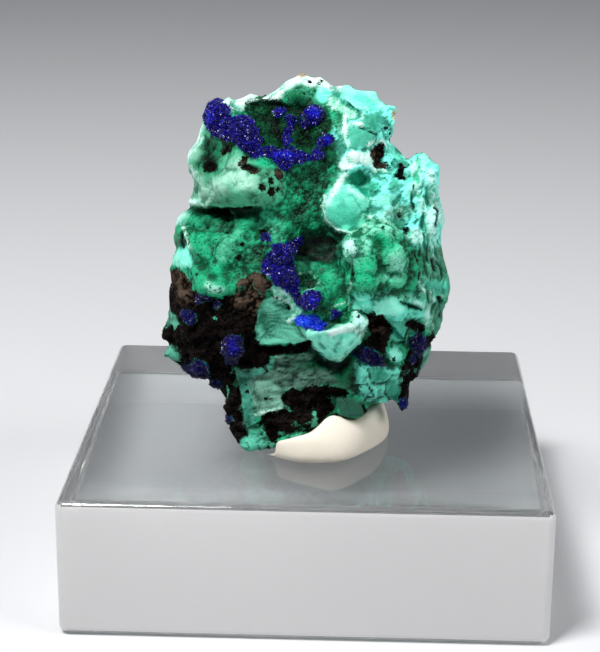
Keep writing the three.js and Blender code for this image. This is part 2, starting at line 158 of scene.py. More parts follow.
# The minerals that show on the front, each laid over the ones before it. Outlines (corners), ovals
# (u, v, half width, half height and tilt, if any) and strokes (points, half width) say where it
# grew, dark and light are its colours, domes, fineDomes, rough and chips are the heights of its
# relief, edge and wander say how soft and how ragged its border is, and a tint has no relief
zones = {
    "darkMiddle": {
        "outlines": [[(-2.1, 5.7), (0.3, 6), (0.9, 4.8), (0.5, 3.4), (0.6, 1.8), (0.4, 0.8),
            (-1.7, 1), (-2.2, 2.6), (-1.6, 4)]],
        "dark": "01311E", "light": "0E9D69", "fineDomes": 0.1, "rough": 0.1, "edge": 0.5,
    },
    "mintRight": {
        "outlines": [[(1.3, 11.6), (4.4, 11), (6, 9.9), (5.9, 8), (6.6, 6.9), (9, 6), (9.5, 2.5),
            (9.3, 0.3), (7.2, 0), (6.7, 1), (5.7, 1.7), (4.4, 1.9), (3.6, 2.6), (3.7, 4.4),
            (2.2, 5), (1.5, 6.8), (1.2, 8.2), (1.5, 9.6)]],
        "dark": "2F8A74", "light": "84FFED", "fineDomes": 0.05, "rough": 0.12, "chips": 0.35,
        "edge": 0.35,
    },
    "topRim": {
        "strokes": [([(-6.4, 10.2), (-5.5, 10.1), (-4.3, 10.5), (-2.6, 10.8), (-1.8, 11.4),
            (-0.8, 11.9), (0.5, 11.7), (1.6, 11.1)], 0.5)],
        "dark": "5FB39E", "light": "F2FFFB", "rough": 0.16, "fineDomes": 0.06, "chips": 0.2,
        "edge": 0.2,
    },
    "topGreen": {
        "ovals": [(-0.9, 10.5, 0.7, 0.6), (1.9, 9, 0.5, 0.9), (0.9, 9.6, 0.6, 0.5)],
        "dark": "085138", "light": "5CC79C", "rough": 0.1, "edge": 0.4,
    },
    "velvet": {
        "outlines": [[(-4.6, 10.1), (-3.4, 10.4), (-2.2, 10.2), (-1.2, 9.8), (0, 9.95), (0.7, 9.6),
            (1.25, 9), (1.3, 8.3), (0.7, 7.9), (1.3, 7), (1.6, 6.4), (1, 5.8), (0.4, 6.1),
            (-0.5, 6.3), (-3.6, 6.6), (-3.9, 8.3), (-4.4, 9.3)]],
        "dark": "000402", "light": "0D653A", "fineDomes": 0.1, "rough": 0.12, "edge": 0.3,
    },
    "sagePillow": {
        "outlines": [[(-8.9, 6), (-7.9, 7.5), (-6, 7.4), (-4.6, 6.4), (-3.2, 6), (-2.1, 5.3),
            (-2, 4.2), (-2.8, 3), (-7, 2.75), (-8.5, 3), (-8.9, 4.5)]],
        "dark": "0E3B27", "light": "4EAB84", "rough": 0.1, "fineDomes": 0.03, "edge": 0.3,
    },
    "leftLobe": {
        "outlines": [[(-7.6, 9), (-7.9, 7.8), (-9, 6.2), (-8.6, 5), (-8, 6.3), (-7.1, 7.3),
            (-6.8, 8.2), (-7.2, 9)]],
        "dark": "042217", "light": "62CA9D", "rough": 0.06, "edge": 0.25,
    },
    "paleRidge": {
        "strokes": [([(-4.3, 2.2), (-5.6, 1.2), (-6.5, -0.8)], 0.55), ([(-3.2, 1.6), (-2.5, 1.3)],
            0.3)],
        "dark": "024223", "light": "50BB95", "domes": 0.12, "rough": 0.08, "edge": 0.5,
    },
    "turquoiseLeft": {
        "ovals": [(-9.3, -0.6, 0.7, 0.6), (-9.4, 1, 0.25, 0.6)], "dark": "075737",
        "light": "2E8E64", "rough": 0.12, "edge": 0.2,
    },
    "disc": {
        "ovals": [(2.25, 2.95, 1.6, 1.65), (3.1, 3.9, 1, 0.7)], "dark": "0F8E70",
        "light": "6FE6C7", "rough": 0.03, "edge": 0.12,
    },
    # The central cavity and a small hollow: their own dark green, darkened further as painted shade
    "deepHollowShade": {
        "outlines": [[(-1.2, 0.9), (0.4, 1.1), (2, 1.1), (2.1, 0), (1.2, -0.9), (-0.8, -1.3),
            (-1.2, -0.4)], [(2.6, 5.2), (3.5, 5.2), (3.5, 4.8), (3, 4.6), (2.5, 4.8)]],
        "dark": "03120B", "light": "0C3424", "rough": 0.1, "edge": 0.55,
    },
    "brightGreen": {
        "outlines": [[(0, -1), (1.4, -0.8), (2.2, -1.4), (2.3, -3.2), (1.6, -4), (0.9, -4.2),
            (0.6, -2.8), (0.2, -2.3)]],
        "ovals": [(-6.6, -2.2, 1.5, 1.2)], "dark": "014025", "light": "1DB07D", "rough": 0.06,
        "edge": 0.3,
    },
    "rightKnobs": {
        "ovals": [(3.6, -1.6, 1.2, 1.6), (5.4, -0.3, 1.2, 1.3), (4.8, -2.4, 1.6, 0.7)],
        "dark": "025733", "light": "51D6A7", "domes": 0.1, "rough": 0.16, "fineDomes": 0.06,
        "edge": 0.3,
    },
    "paleKnobs": {
        "ovals": [(2.8, 0, 0.8, 1.1), (4.7, 1.4, 1.2, 0.7, 10), (3.6, 0.5, 0.6, 0.5),
            (5.8, -1, 0.6, 0.9), (5, -1.6, 0.3, 0.3)],
        "dark": "257B61", "light": "85DEC2", "domes": 0.18, "rough": 0.08, "edge": 0.25,
    },
    "fibrousEdge": {
        "outlines": [[(7.2, 0.1), (9.2, 0.4), (9.8, -1.6), (9.9, -2.8), (9.3, -4.2), (9.1, -5.4),
            (8.2, -5.6), (7.7, -4.2), (7.3, -2.2)]],
        "dark": "0C4835", "light": "4B9B7D", "rough": 0.1, "edge": 0.3,
    },
    "turquoiseBand": {
        "outlines": [[(2.4, -3.1), (4.5, -2.9), (7.3, -3.1), (7.9, -4.6), (6.9, -5.2), (6.4, -6.4),
            (5.5, -6.3), (5.3, -4.8), (3.8, -4.3), (2.9, -4.1)]],
        "ovals": [(5.5, -7.2, 0.5, 0.65)], "dark": "176447", "light": "6DEBD2", "rough": 0.14,
        "chips": 0.35, "edge": 0.25,
    },
    "satinFan": {
        "outlines": [[(-3.3, -3.5), (-2.6, -3.1), (-1.5, -4.1), (-1.3, -5.1), (0, -6),
            (-0.8, -6.5), (-3.8, -6.5), (-4.1, -5)]],
        "dark": "1F6E55", "light": "6FD2B2", "rough": 0.03, "edge": 0.15,
    },
    "ledge": {
        "outlines": [[(-0.9, -5.5), (0.8, -5.5), (2.5, -4.9), (2.9, -4.1), (3.7, -4.6),
            (3.9, -5.3), (3.3, -6.1), (2.6, -6.8), (1.95, -7.75), (0.9, -7.5), (0.15, -6.8),
            (-0.4, -6.1)]],
        "dark": "1B604B", "light": "ACE2D0", "rough": 0.06, "chips": 0.3, "edge": 0.12,
    },
    "layeredFace": {
        "outlines": [[(-5.7, -8.2), (-3.2, -8), (-2.6, -7.1), (-0.5, -6.5), (0.6, -7.4),
            (2.9, -7.6), (3, -9.9), (1, -9.2), (-0.9, -9.6), (-2, -9.7), (-2, -10.9), (-4, -11.5),
            (-4.4, -13.4), (-5.2, -13.2), (-5, -10.2)]],
        "dark": "14332A", "light": "5A8473", "rough": 0.06, "chips": 0.1, "edge": 0.2,
    },
    "lens": {
        "outlines": [[(1.2, -10.2), (2.8, -10.1), (3.7, -10.7), (3.4, -11.6), (1.8, -11.4)]],
        "dark": "0B2A20", "light": "285D4A", "rough": 0.02, "edge": 0.15,
    },
    "brokenPlates": {
        "outlines": [[(2.9, -7.7), (4.3, -7.9), (6, -8.1), (6, -10.5), (3.6, -10.5), (2.9, -9.2)]],
        "dark": "1C6351", "light": "78F3D8", "rough": 0.03, "chips": 0.2, "edge": 0.12,
    },
    "foot": {
        "ovals": [(-4.3, -13.3, 1, 0.7), (-3.5, -12.8, 0.5, 0.5), (-1.2, -13.1, 0.8, 0.45, 20)],
        "dark": "0F4A37", "light": "57BEA0", "rough": 0.12, "chips": 0.4, "edge": 0.15,
    },
    # White crusts and lines, and painted highlights along the top rim's lobes, the left lobe's edge, the
    # pillow's lip and the ledge
    "whiteMarksAndHighlights": {
        "ovals": [(3.9, 2.25, 0.3, 0.12, 30), (3.5, 1.9, 0.1, 0.3)],
        "strokes": [([(1.3, 10.1), (1.9, 9.75), (2.7, 9.2)], 0.32), ([(-3.7, 10.4), (-2.7, 10.7),
            (-1.9, 11.2), (-1.2, 11.6)], 0.25), ([(-5.4, 10.25), (-4.2, 10.45)], 0.2),
            ([(-6.3, 10.15), (-5.7, 10.25)], 0.12), ([(-0.6, 11.6), (0.7, 11.5)], 0.2),
            ([(2.2, 9.1), (2.1, 8.2), (2.3, 7.3)], 0.14), ([(2.2, 5.9), (2.8, 6.35), (3.9, 6.3)],
            0.42), ([(2.2, 5.2), (1.7, 4.5), (1.3, 3.8)], 0.12), ([(0.8, 3.8), (0.6, 3),
            (0.9, 2.1), (1.6, 1.4), (2.4, 1.2), (3.1, 1.4)], 0.03), ([(1.2, -5.75), (1.9, -5.5),
            (2.6, -5.3)], 0.2), ([(-1.6, -4.9), (-1.1, -4.3), (-1.7, -3.6), (-2.6, -3.2)], 0.1),
            ([(3.3, 9), (3.45, 9.4)], 0.05), ([(2.15, 8.5), (3.2, 8.6)], 0.05), ([(3.9, 7.2),
            (4.5, 7.5), (4.95, 7.2)], 0.07), ([(3.7, 6.3), (4.2, 5.5), (5, 5.5)], 0.1),
            ([(-7.55, 8.6), (-7.9, 7.6), (-8.3, 6.7), (-8.65, 6.2)], 0.14), ([(-8.4, 5.7),
            (-8.2, 5.2)], 0.06), ([(-8.5, 3.3), (-8.1, 3.15), (-7.4, 3)], 0.09), ([(-7.35, 3.05),
            (-7.1, 3.5)], 0.05), ([(-8.9, 1.6), (-8.8, 0.9), (-8.5, 0.5), (-8.4, 0.2)], 0.05),
            ([(-4, -11.25), (-3.1, -11.1), (-2.2, -10.95)], 0.06), ([(7.3, -2.2), (7.6, -2.8),
            (8.2, -2.9)], 0.04)],
        "dark": "42BD91", "light": "DAFCF3", "rough": 0.08, "edge": 0.12, "wander": 0.6,
    },
    # Painted shade under the pillow's lip, the fan, the ledge and the knobs and in hollows, with some
    # dark green patches of the mineral's own
    "shadeAndDarkGreen": {
        "outlines": [[(-7.7, 7.9), (-6.3, 7.4), (-6, 6.9), (-6.6, 6), (-6.5, 5.3), (-7.4, 5.2),
            (-8.2, 5.8), (-8, 6.6), (-7.5, 7.1)]],
        "ovals": [(-1.1, 10.5, 0.65, 0.6), (-0.4, 10.2, 0.5, 0.25), (1.4, 6.5, 0.5, 0.5),
            (-6.3, 2.1, 1.6, 0.5), (-6.9, -1.9, 0.35, 0.2), (-5, 1.9, 0.3, 0.4),
            (-4.1, -0.9, 0.5, 0.3, 30), (3.9, -2, 0.35, 0.8, 10), (4.3, -0.7, 0.2, 0.4, 20),
            (3.05, -1.3, 0.12, 0.6), (5, -2.9, 0.9, 0.15), (6.6, -1.2, 0.2, 0.7),
            (-1, 2.3, 0.7, 0.8), (0.3, 4.5, 0.6, 0.7), (-3.4, -0.6, 0.9, 0.9),
            (-0.3, -2.1, 0.65, 0.6), (0.7, -3.9, 0.7, 0.6), (4.2, -2.8, 1.3, 0.3),
            (6.8, -5.3, 0.7, 0.5), (6.7, -3.85, 0.8, 0.15, -12), (2.2, -8.6, 0.8, 1),
            (0.3, -7.9, 1.6, 0.35), (-1.2, -6.9, 1.4, 0.3), (7.4, -0.6, 0.35, 0.6),
            (2.65, -1.6, 0.14, 0.6)],
        "dark": "01130A", "light": "11714A", "edge": 0.4, "tint": True,
    },
    "tealHollow": {
        "ovals": [(3.1, 4.95, 0.75, 0.42, -5), (3.4, 8.15, 0.5, 0.2), (4.2, 4.3, 0.3, 0.5, 20)],
        "dark": "028867", "light": "02B884", "edge": 0.25, "tint": True,
    },
    "brightEmerald": {
        "ovals": [(1.5, 9.1, 0.45, 0.4, -20), (-3.3, 5.9, 0.7, 0.35), (-4.4, 1.6, 0.5, 0.6, 40),
            (-7.6, 0.9, 0.9, 0.6), (-6.3, -1.5, 0.9, 0.5), (-5.9, -2.5, 0.4, 0.4),
            (1.6, -3.4, 0.6, 0.4), (0.5, -1.8, 0.5, 0.3, -10), (4.7, 0.6, 0.9, 0.6, -20),
            (3.6, -1.7, 0.75, 1.1), (4.9, 0.2, 0.5, 0.4), (2.2, -4.7, 0.5, 0.4),
            (6.2, -3.2, 0.4, 0.3), (-7.4, -0.6, 0.6, 0.45), (2.9, 1.35, 0.4, 0.3)],
        "dark": "01683E", "light": "10B17F", "edge": 0.35, "tint": True,
    },
    "aqua": {
        "outlines": [[(1.95, 10.6), (2, 11.3), (2.4, 11.4), (2.9, 10.95), (4.35, 10.9),
            (4.45, 10.4), (5, 9.95), (4.9, 9.65), (3.4, 9.5), (2.6, 9.95)], [(5.1, 7.4),
            (5.9, 6.7), (6.4, 6.1), (5.6, 6.2), (5.1, 6.6)], [(-10, -0.6), (-9.3, -0.05),
            (-8.6, 0.4), (-8.4, -0.5), (-8.3, -1.3), (-9.5, -1.1)], [(-0.8, -5.5), (0.9, -5.7),
            (2.9, -5.6), (3.2, -6.1), (2.6, -6.8), (1.9, -7.6), (0.8, -7.4), (0.1, -6.6),
            (-0.3, -6.1)]],
        "ovals": [(0.7, 10.6, 0.5, 0.5), (5, 3.4, 0.6, 0.4), (5.2, -3.9, 1, 0.6),
            (3.4, -3.7, 0.6, 0.3, -20), (5.5, -7.15, 0.45, 0.5), (7.6, 6.2, 0.4, 0.4),
            (6.7, 4.4, 0.4, 0.5)],
        "dark": "66E8CB", "light": "93F9DE", "rough": 0.04, "chips": 0.12, "edge": 0.14,
    },
    "turquoise": {
        "outlines": [[(3.3, 9.4), (4.7, 9.4), (4.8, 8.4), (4.4, 7.9), (3.1, 8.4), (3.1, 9)],
            [(2.4, 8.3), (3.6, 8.3), (4.5, 7.9), (3.9, 7), (2.35, 6.9)], [(3.7, -8.2), (4.2, -8),
            (4.8, -8.1), (5.4, -8.6), (4.9, -9.1), (4.1, -9.2)], [(5, -9.1), (5.5, -8.8),
            (5.9, -9.1), (5.95, -10), (5.6, -10.5), (5, -9.9)], [(5.3, -4.8), (6.4, -4.9),
            (6.4, -6.2), (5.3, -6.3)], [(7.5, -2), (9.4, -2.2), (9.3, -3), (7.7, -2.9)]],
        "ovals": [(1.7, 10.65, 0.3, 0.25), (5.6, 4.4, 0.4, 0.4), (8.2, 3.2, 0.3, 0.3)],
        "strokes": [([(0.4, -6), (0.7, -6.8)], 0.08), ([(1.9, -6.1), (1.5, -6.8), (1.6, -7.4)],
            0.1), ([(3, -5.9), (2.5, -6.5)], 0.08), ([(6.1, 6.2), (5.7, 6.9)], 0.1)],
        "dark": "248C72", "light": "4AB599", "rough": 0.04, "chips": 0.12, "edge": 0.14,
    },
    # Pale mint patches, with painted highlights on the glossy knob near (-7, -2.5) and on the top rim's
    # lobes
    "paleMintAndHighlights": {
        "outlines": [[(-7.7, 9), (-7.3, 8.6), (-7.9, 7.3), (-8.3, 6.3), (-8.8, 5.9), (-8.9, 6.5),
            (-8.2, 7.6)]],
        "ovals": [(2.6, 0.3, 0.45, 0.5), (3.3, 1.9, 0.4, 0.35), (-7.15, -2.4, 0.2, 0.22),
            (-6.55, -2.7, 0.35, 0.12, -5), (3.3, -4.8, 0.45, 0.5), (-9.1, 2.2, 0.55, 0.25, 40),
            (7, 1, 0.5, 0.5), (8.1, 1.5, 0.35, 1.4, 8), (7, 5.6, 0.5, 0.6),
            (8.3, -3.2, 0.35, 0.25), (7.9, -4.7, 0.2, 0.6), (6.9, -3.5, 0.5, 0.14, -35),
            (-8.3, 3.3, 0.4, 0.2), (-5.9, 10.3, 0.4, 0.25), (-4.5, 10.5, 0.6, 0.25, 10)],
        "strokes": [([(-3.5, -2.4), (-2.6, -2.6), (-1.8, -3), (-1.2, -3.8), (-1.2, -4.7)], 0.22),
            ([(8, 5.2), (8.3, 4), (8.4, 3), (8.8, 2)], 0.25), ([(2, 5), (1.6, 4.3), (1.2, 3.7),
            (1, 3.1)], 0.14), ([(2.4, 4.3), (3.2, 3.7), (4, 3.4)], 0.08), ([(7.2, 5), (7, 4.2),
            (7.5, 3.2), (7.9, 2), (7.8, 0.6)], 0.22)],
        "dark": "53CFA9", "light": "C4F9EE", "edge": 0.25, "tint": True,
    },
    "discDeep": {
        "outlines": [[(0.9, 2.8), (1.9, 3.1), (2.7, 2.8), (3.3, 2.4), (3, 1.5), (2.2, 1.3),
            (1.4, 1.7)]],
        "dark": "1C9476", "light": "52D2B0", "edge": 0.35, "tint": True,
    },
    # Painted highlights on the pillow's upper and left ridges, over their paler sage
    "paleSageAndHighlights": {
        "ovals": [(-5.3, 5.3, 0.7, 0.8), (5.6, 2.5, 0.9, 0.35, 10), (-4.6, 4.6, 0.8, 0.5)],
        "strokes": [([(-7.9, 3.6), (-6.9, 4.4), (-5.9, 4.9)], 0.3), ([(-8.2, 5), (-7.7, 4.4),
            (-7.2, 4)], 0.3), ([(-6.8, 3.8), (-6.2, 4.3)], 0.3), ([(-8.3, 6.4), (-8, 7.1)], 0.15)],
        "dark": "4E9679", "light": "A6DEC6", "edge": 0.45, "tint": True,
    },
    "paleLines": {
        "strokes": [([(-0.9, -1.6), (-0.3, -1.5), (0.4, -2.1), (0, -2.7), (-0.6, -2.7)], 0.03),
            ([(2.6, -2), (2.35, -3), (2.45, -4)], 0.04), ([(1.1, -4), (2.2, -3.6)], 0.03)],
        "dark": "3F9C78", "light": "B0EED2", "edge": 0.06, "wander": 0.25, "tint": True,
    },
    "cavityStreaks": {
        "strokes": [([(-0.4, 0.3), (0.6, 0.1), (1.7, 0.35)], 0.05), ([(-0.2, -0.3), (0.8, -0.35),
            (1.9, 0)], 0.05), ([(0.4, -0.75), (1.4, -0.6), (2, -0.4)], 0.05)],
        "dark": "0C3A28", "light": "2A6A50", "edge": 0.12, "wander": 0.7, "tint": True,
    },
    "plateJoints": {
        "strokes": [([(3, -7.7), (3.75, -8.2), (4, -9.15), (5, -9.2), (5.4, -8.6)], 0.05),
            ([(5, -9.2), (4.95, -9.9), (5.5, -10.5)], 0.05), ([(3, -9.3), (3.7, -9.25),
            (4.2, -10.1), (3.6, -10.3)], 0.05), ([(-2.6, -8.2), (-1.6, -8.7), (-0.6, -8.5),
            (0.4, -8.8), (1.6, -8.4)], 0.02), ([(-2, -7.4), (-0.8, -7.7), (0.6, -7.6)], 0.02),
            ([(-1.2, -8.9), (-0.2, -9), (0.9, -8.9)], 0.02), ([(-4.4, -8.2), (-4, -9.4),
            (-4.3, -10.6)], 0.03)],
        "dark": "0B2E25", "light": "175042", "edge": 0.05, "wander": 0.35, "tint": True,
    },
    "satinCream": {
        "outlines": [[(-4.3, -9), (-3, -8.8), (-2.3, -9.6), (-2.1, -10.9), (-3.6, -11.2),
            (-4.2, -10.6)]],
        "dark": "3A6D59", "light": "86C0A9", "rough": 0.02, "edge": 0.3,
    },
    "tealColumn": {
        "outlines": [[(-5.5, -8.1), (-4.5, -8.3), (-4.3, -9.4), (-4.1, -10.6), (-3.9, -12),
            (-4.4, -13), (-4.9, -11.4), (-4.9, -10.3)], [(-4.7, -8.4), (-3.2, -7.9), (-2.6, -7.2),
            (-2.7, -8), (-3.6, -8.7), (-4.6, -8.8)]],
        "dark": "205F4B", "light": "4BA88E", "edge": 0.14, "tint": True,
    },
    "goethite": {
        "outlines": [[(-11, -1.6), (-9.35, -1.25), (-8.9, -1.5), (-8.45, -2), (-8, -3),
            (-6.6, -3.4), (-5.4, -3), (-5, -2), (-4.1, -1.45), (-3.5, -1.6), (-2.75, -2.2),
            (-3.2, -3), (-3.5, -3.6), (-3.9, -4.3), (-4, -6), (-3.7, -6.5), (-2.5, -6.5),
            (-0.1, -6.4), (-0.6, -6.8), (-2.8, -7.3), (-3.2, -8), (-4.9, -8.3), (-5.2, -8),
            (-5.5, -8.2), (-5.4, -9), (-4.9, -10.3), (-4.85, -11.5), (-4.5, -12.7), (-4.9, -13.1),
            (-5.4, -13.6), (-7, -13), (-7, -10), (-11, -8.6), (-11, -6)], [(-2, -9.65),
            (-1.5, -9.4), (-0.9, -9.6), (-0.1, -9.2), (1, -9.1), (2, -9.5), (2.9, -9.85),
            (2, -10.1), (1.2, -10.2), (1.6, -10.9), (0.9, -11.6), (0.2, -12.7), (-1, -12.4),
            (-2, -12.8), (-2.9, -13.2), (-3.4, -12.5), (-4, -11.9), (-3.5, -11.4), (-2.5, -11),
            (-1.8, -10.8), (-2.15, -10.1)], [(3.1, -4.15), (3.9, -4.4), (4.85, -4.55), (5.3, -5.1),
            (5.35, -5.8), (5.1, -6.4), (4.9, -7.2), (3.2, -6.6), (3.9, -5.8), (3.6, -4.7)],
            [(8.2, -5.5), (7.25, -6), (6.6, -6.8), (6, -7.9), (5.9, -11.4), (6.8, -11.4),
            (7.4, -8.6), (8.6, -6.8)]],
        "ovals": [(-2.5, -13.5, 0.9, 0.35), (7.1, -5.3, 0.7, 0.3, -20)],
        "dark": "020101", "light": "120C09", "domes": 0.14, "fineDomes": 0.14, "rough": 0.24,
        "chips": 0.3, "wander": 1.2, "edge": 0.1,
    },
    "goethiteSpots": {
        "outlines": [[(3.85, 6.5), (4.1, 7.05), (4.45, 7.35), (4.9, 7.1), (4.88, 6.5), (4.7, 6.1),
            (5.15, 5.7), (4.75, 5.55), (4.35, 5.6), (4.1, 6.05)], [(5.85, 6), (6.1, 5.95),
            (6.2, 5.6), (6.15, 5.2), (6.4, 4.55), (5.9, 4.95), (5.5, 5.2), (5.8, 5.5)],
            [(-3.8, 4.1), (-3.8, 4.5), (-3.5, 4.65), (-3.15, 4.4), (-3.2, 4.05), (-3.45, 3.9)]],
        "ovals": [(-7.15, 5.75, 0.5, 0.42), (-5.95, 6.85, 0.42, 0.27, 40),
            (-4.4, 5.65, 0.7, 0.24, -15), (-4.7, 6.15, 0.22, 0.25), (-2.95, 4.75, 0.26, 0.22, 30),
            (-4.1, 5.4, 0.3, 0.12), (-2.85, 3.95, 0.22, 0.34, 20), (-2.35, 5.15, 0.3, 0.45, 20),
            (5.05, 8.35, 0.2, 0.12), (5.3, 8, 0.06, 0.06), (-7.3, 1.53, 0.12, 0.12),
            (-5.95, 1.2, 0.12, 0.12), (-3.5, 1.27, 0.2, 0.18), (-4.9, 0.38, 0.18, 0.16),
            (-5.15, -0.5, 0.24, 0.2), (-8, -1.65, 0.15, 0.15), (-5.2, -1.1, 0.12, 0.1),
            (-4.4, -1.3, 0.12, 0.1), (5.9, 2.4, 0.14, 0.16), (6.4, 1.35, 0.2, 0.18),
            (4.8, 1.6, 0.13, 0.1), (-0.9, 11.2, 0.1, 0.08), (-0.65, 10.7, 0.1, 0.1),
            (-0.3, 11.55, 0.07, 0.07), (0.1, 10.9, 0.1, 0.08), (0.35, 11.4, 0.07, 0.07),
            (0.6, 11.6, 0.1, 0.08), (2.15, 9.45, 0.06, 0.08), (2.75, 8.85, 0.14, 0.1),
            (3.05, 8.95, 0.09, 0.08), (-3.2, -10.2, 0.12, 0.12), (-2.85, -10.3, 0.08, 0.07),
            (-2.95, -10.8, 0.07, 0.06), (-3.6, -8.6, 0.35, 0.1, 25), (-3.2, -8.3, 0.12, 0.09),
            (-3.9, -8.4, 0.1, 0.08), (-4.6, -9.2, 0.1, 0.12), (-4.5, -9.7, 0.08, 0.1),
            (-7.95, -0.9, 0.07, 0.07), (-2.4, 4.2, 0.08, 0.1), (3.65, 2, 0.1, 0.14),
            (4.25, 1.25, 0.08, 0.07), (3.1, -4.6, 0.12, 0.08), (5.5, -7.6, 0.1, 0.12),
            (6.05, -6.9, 0.16, 0.12), (-2.7, -3.2, 0.3, 0.06, -12), (4.6, -10.58, 1, 0.05),
            (3.6, -11.1, 0.12, 0.45, 10), (5.1, 5.85, 0.35, 0.1, -35)],
        "strokes": [([(-2.9, -3.1), (-1.8, -3.6), (-1.7, -4)], 0.09)],
        "fineDomes": 0.12, "rough": 0.1, "wander": 0.8, "edge": 0.08,
    },
    "brownGoethite": {
        "outlines": [[(-9.6, -1.3), (-8.7, -1.5), (-8.2, -2.6), (-8.1, -3.6), (-9.2, -3.6)],
            [(-5.2, -1.4), (-3.8, -1.4), (-2.7, -2.4), (-3.2, -3.3), (-3.9, -4.3), (-5.6, -3.6)]],
        "ovals": [(4.2, 6.7, 0.35, 0.5), (-2.3, 5.3, 0.25, 0.3), (-4.3, 5.65, 0.6, 0.15, -15),
            (4.4, -5.2, 0.4, 0.4), (4.6, 5.75, 0.4, 0.2, -10)],
        "dark": "110A06", "light": "54463A", "edge": 0.35, "tint": True,
    },
    "greenOnGoethite": {
        "outlines": [[(-9.9, -4), (-9.4, -4.5), (-9.2, -5.1), (-9.5, -5.4), (-9.8, -5),
            (-10.3, -5.4), (-10.1, -4.6)], [(-9.7, -6.5), (-9.4, -6.7), (-9, -7.4), (-9.2, -7.6),
            (-9.9, -7.4), (-10.3, -7.2), (-9.9, -6.8)], [(0, -10.8), (0.25, -11.1), (0.35, -11.6),
            (0.15, -12.2), (-0.1, -12.1), (-0.05, -11.4)], [(-1.9, -12.9), (-1.1, -12.75),
            (-0.5, -13), (-0.9, -13.4), (-1.7, -13.6)], [(7.6, -6.7), (8.3, -6.7), (8, -7.5),
            (7.5, -8.6), (7.2, -8.7), (7.5, -7.6)]],
        "ovals": [(-6.8, -4.7, 0.25, 0.12, -30), (-0.9, -12.1, 0.35, 0.12, -30),
            (-2.2, -12.6, 0.3, 0.12, 20), (-0.5, -11.85, 0.2, 0.08), (-2.9, -13.4, 0.12, 0.1),
            (-2.4, -13.5, 0.14, 0.1), (-3.4, -13.5, 0.12, 0.12), (-3.5, -12.2, 0.3, 0.2, 30),
            (-1.6, -11, 0.3, 0.05, -30), (1.4, -10.15, 0.35, 0.06), (1.3, -11.2, 0.35, 0.06, 35),
            (-4.3, -2.2, 0.5, 0.07, -50), (-4.8, -2.6, 0.25, 0.12, 30), (-3.6, -2.9, 0.12, 0.08),
            (6.3, -8.4, 0.6, 0.08, 15), (5.9, -8.8, 0.12, 0.2), (-5.9, -9.7, 0.1, 0.3, 10)],
        "dark": "0A2318", "light": "56AE92", "rough": 0.08, "edge": 0.12,
    },
    "tanSpike": {
        "ovals": [(-0.75, 12.2, 0.25, 0.3)],
        "strokes": [([(-1.5, 11.85), (-1.1, 12), (-0.7, 12.2)], 0.08), ([(5.6, 9.6), (5.62, 8.9)],
            0.05)],
        "dark": "5A4028", "light": "D9BC90", "edge": 0.1, "tint": True,
    },
    # Dark cracks and crevices, darkened as painted shade, and a painted shadow line under the pillow's
    # lip
    "cracksAndShadowLines": {
        "strokes": [([(-9, 1.3), (-9.1, 0.8), (-8.95, 0.15)], 0.07), ([(-7, 2.75), (-5.4, 2.7),
            (-4.3, 2.85)], 0.1), ([(6, -3.6), (6.7, -3.8), (7.4, -4.1)], 0.06), ([(8.6, -3.3),
            (8.7, -4.6)], 0.05), ([(2.65, -1.1), (2.6, -1.7), (2.7, -2.2)], 0.1), ([(7.6, 2.6),
            (7.5, 1.4), (7.7, 0.2)], 0.025), ([(8.3, 3.6), (8.5, 2.4), (8.4, 1)], 0.04),
            ([(6.9, 4.4), (6.7, 3.4), (7, 2.6)], 0.03), ([(7, -0.4), (7.3, -1.4), (7.2, -2.6)],
            0.05), ([(8.2, -0.6), (8.4, -1.6)], 0.04), ([(5.3, -6.4), (6.3, -6.4), (6.6, -5.4)],
            0.06), ([(-5.5, -8.2), (-4.95, -10.3), (-4.9, -11.5), (-4.5, -12.8)], 0.06),
            ([(3.1, 8.4), (4.4, 7.9), (4.8, 8.5)], 0.03)],
        "dark": "02100B", "light": "0A2A20", "edge": 0.05, "wander": 0.4, "tint": True,
    },
    "azurite": {
        "outlines": [[(-6.7, 10.6), (-7.2, 10.3), (-7.4, 9.76), (-7.4, 8.9), (-7.17, 8.2),
            (-6.7, 7.8), (-5.9, 7.5), (-5.3, 7.3), (-4.5, 6.5), (-4, 6.15), (-3.6, 6.95),
            (-3.65, 7.6), (-3.85, 8.3), (-4.15, 8.8), (-4.6, 9.1), (-5.1, 9.1), (-5.5, 9.05),
            (-5.73, 9.4), (-5.7, 9.8), (-6.2, 10.1)], [(-3.8, 7), (-2.5, 6.75), (-1.8, 6.95),
            (-1.5, 7.1), (-1, 6.85), (-0.2, 6.4), (0.15, 6.65), (0.65, 6.6), (0.6, 6.3), (-0.3, 6),
            (-1.3, 5.85), (-1.95, 5.3), (-2.2, 5.6), (-2.7, 6.2), (-3.8, 6.4)], [(-1.1, 0.9),
            (-1.9, 0.4), (-2.8, 0.4), (-3.15, -0.35), (-3.6, -1.1), (-3.1, -1.8), (-2.4, -2.5),
            (-1.5, -3.1), (-1, -3.8), (-0.5, -4), (-0.85, -3.25), (-1, -2.35), (-1.2, -1.6),
            (-1.3, -0.7), (-1, 0.2), (-0.6, 0.75)], [(2.6, -7), (3.3, -6.4), (3.9, -6.7),
            (4.6, -7.3), (4.95, -7.9), (4, -7.95), (3.2, -7.6)], [(-6.3, -6.2), (-5.6, -5.7),
            (-5, -5.9), (-4.8, -6.8), (-5, -7.4), (-5.5, -7.9), (-6, -7.6), (-6.2, -7)],
            [(-8.9, -7.9), (-7.9, -7.4), (-7.2, -7.9), (-7.1, -8.6), (-8.2, -8.8)]],
        "ovals": [(-2.27, 9.43, 0.45, 0.3), (-1.5, 8.9, 0.4, 0.4), (-0.05, 9.24, 0.65, 0.62),
            (-0.5, 8.8, 0.35, 0.35), (0.98, 7.54, 0.4, 0.38), (0.55, 7.2, 0.3, 0.3),
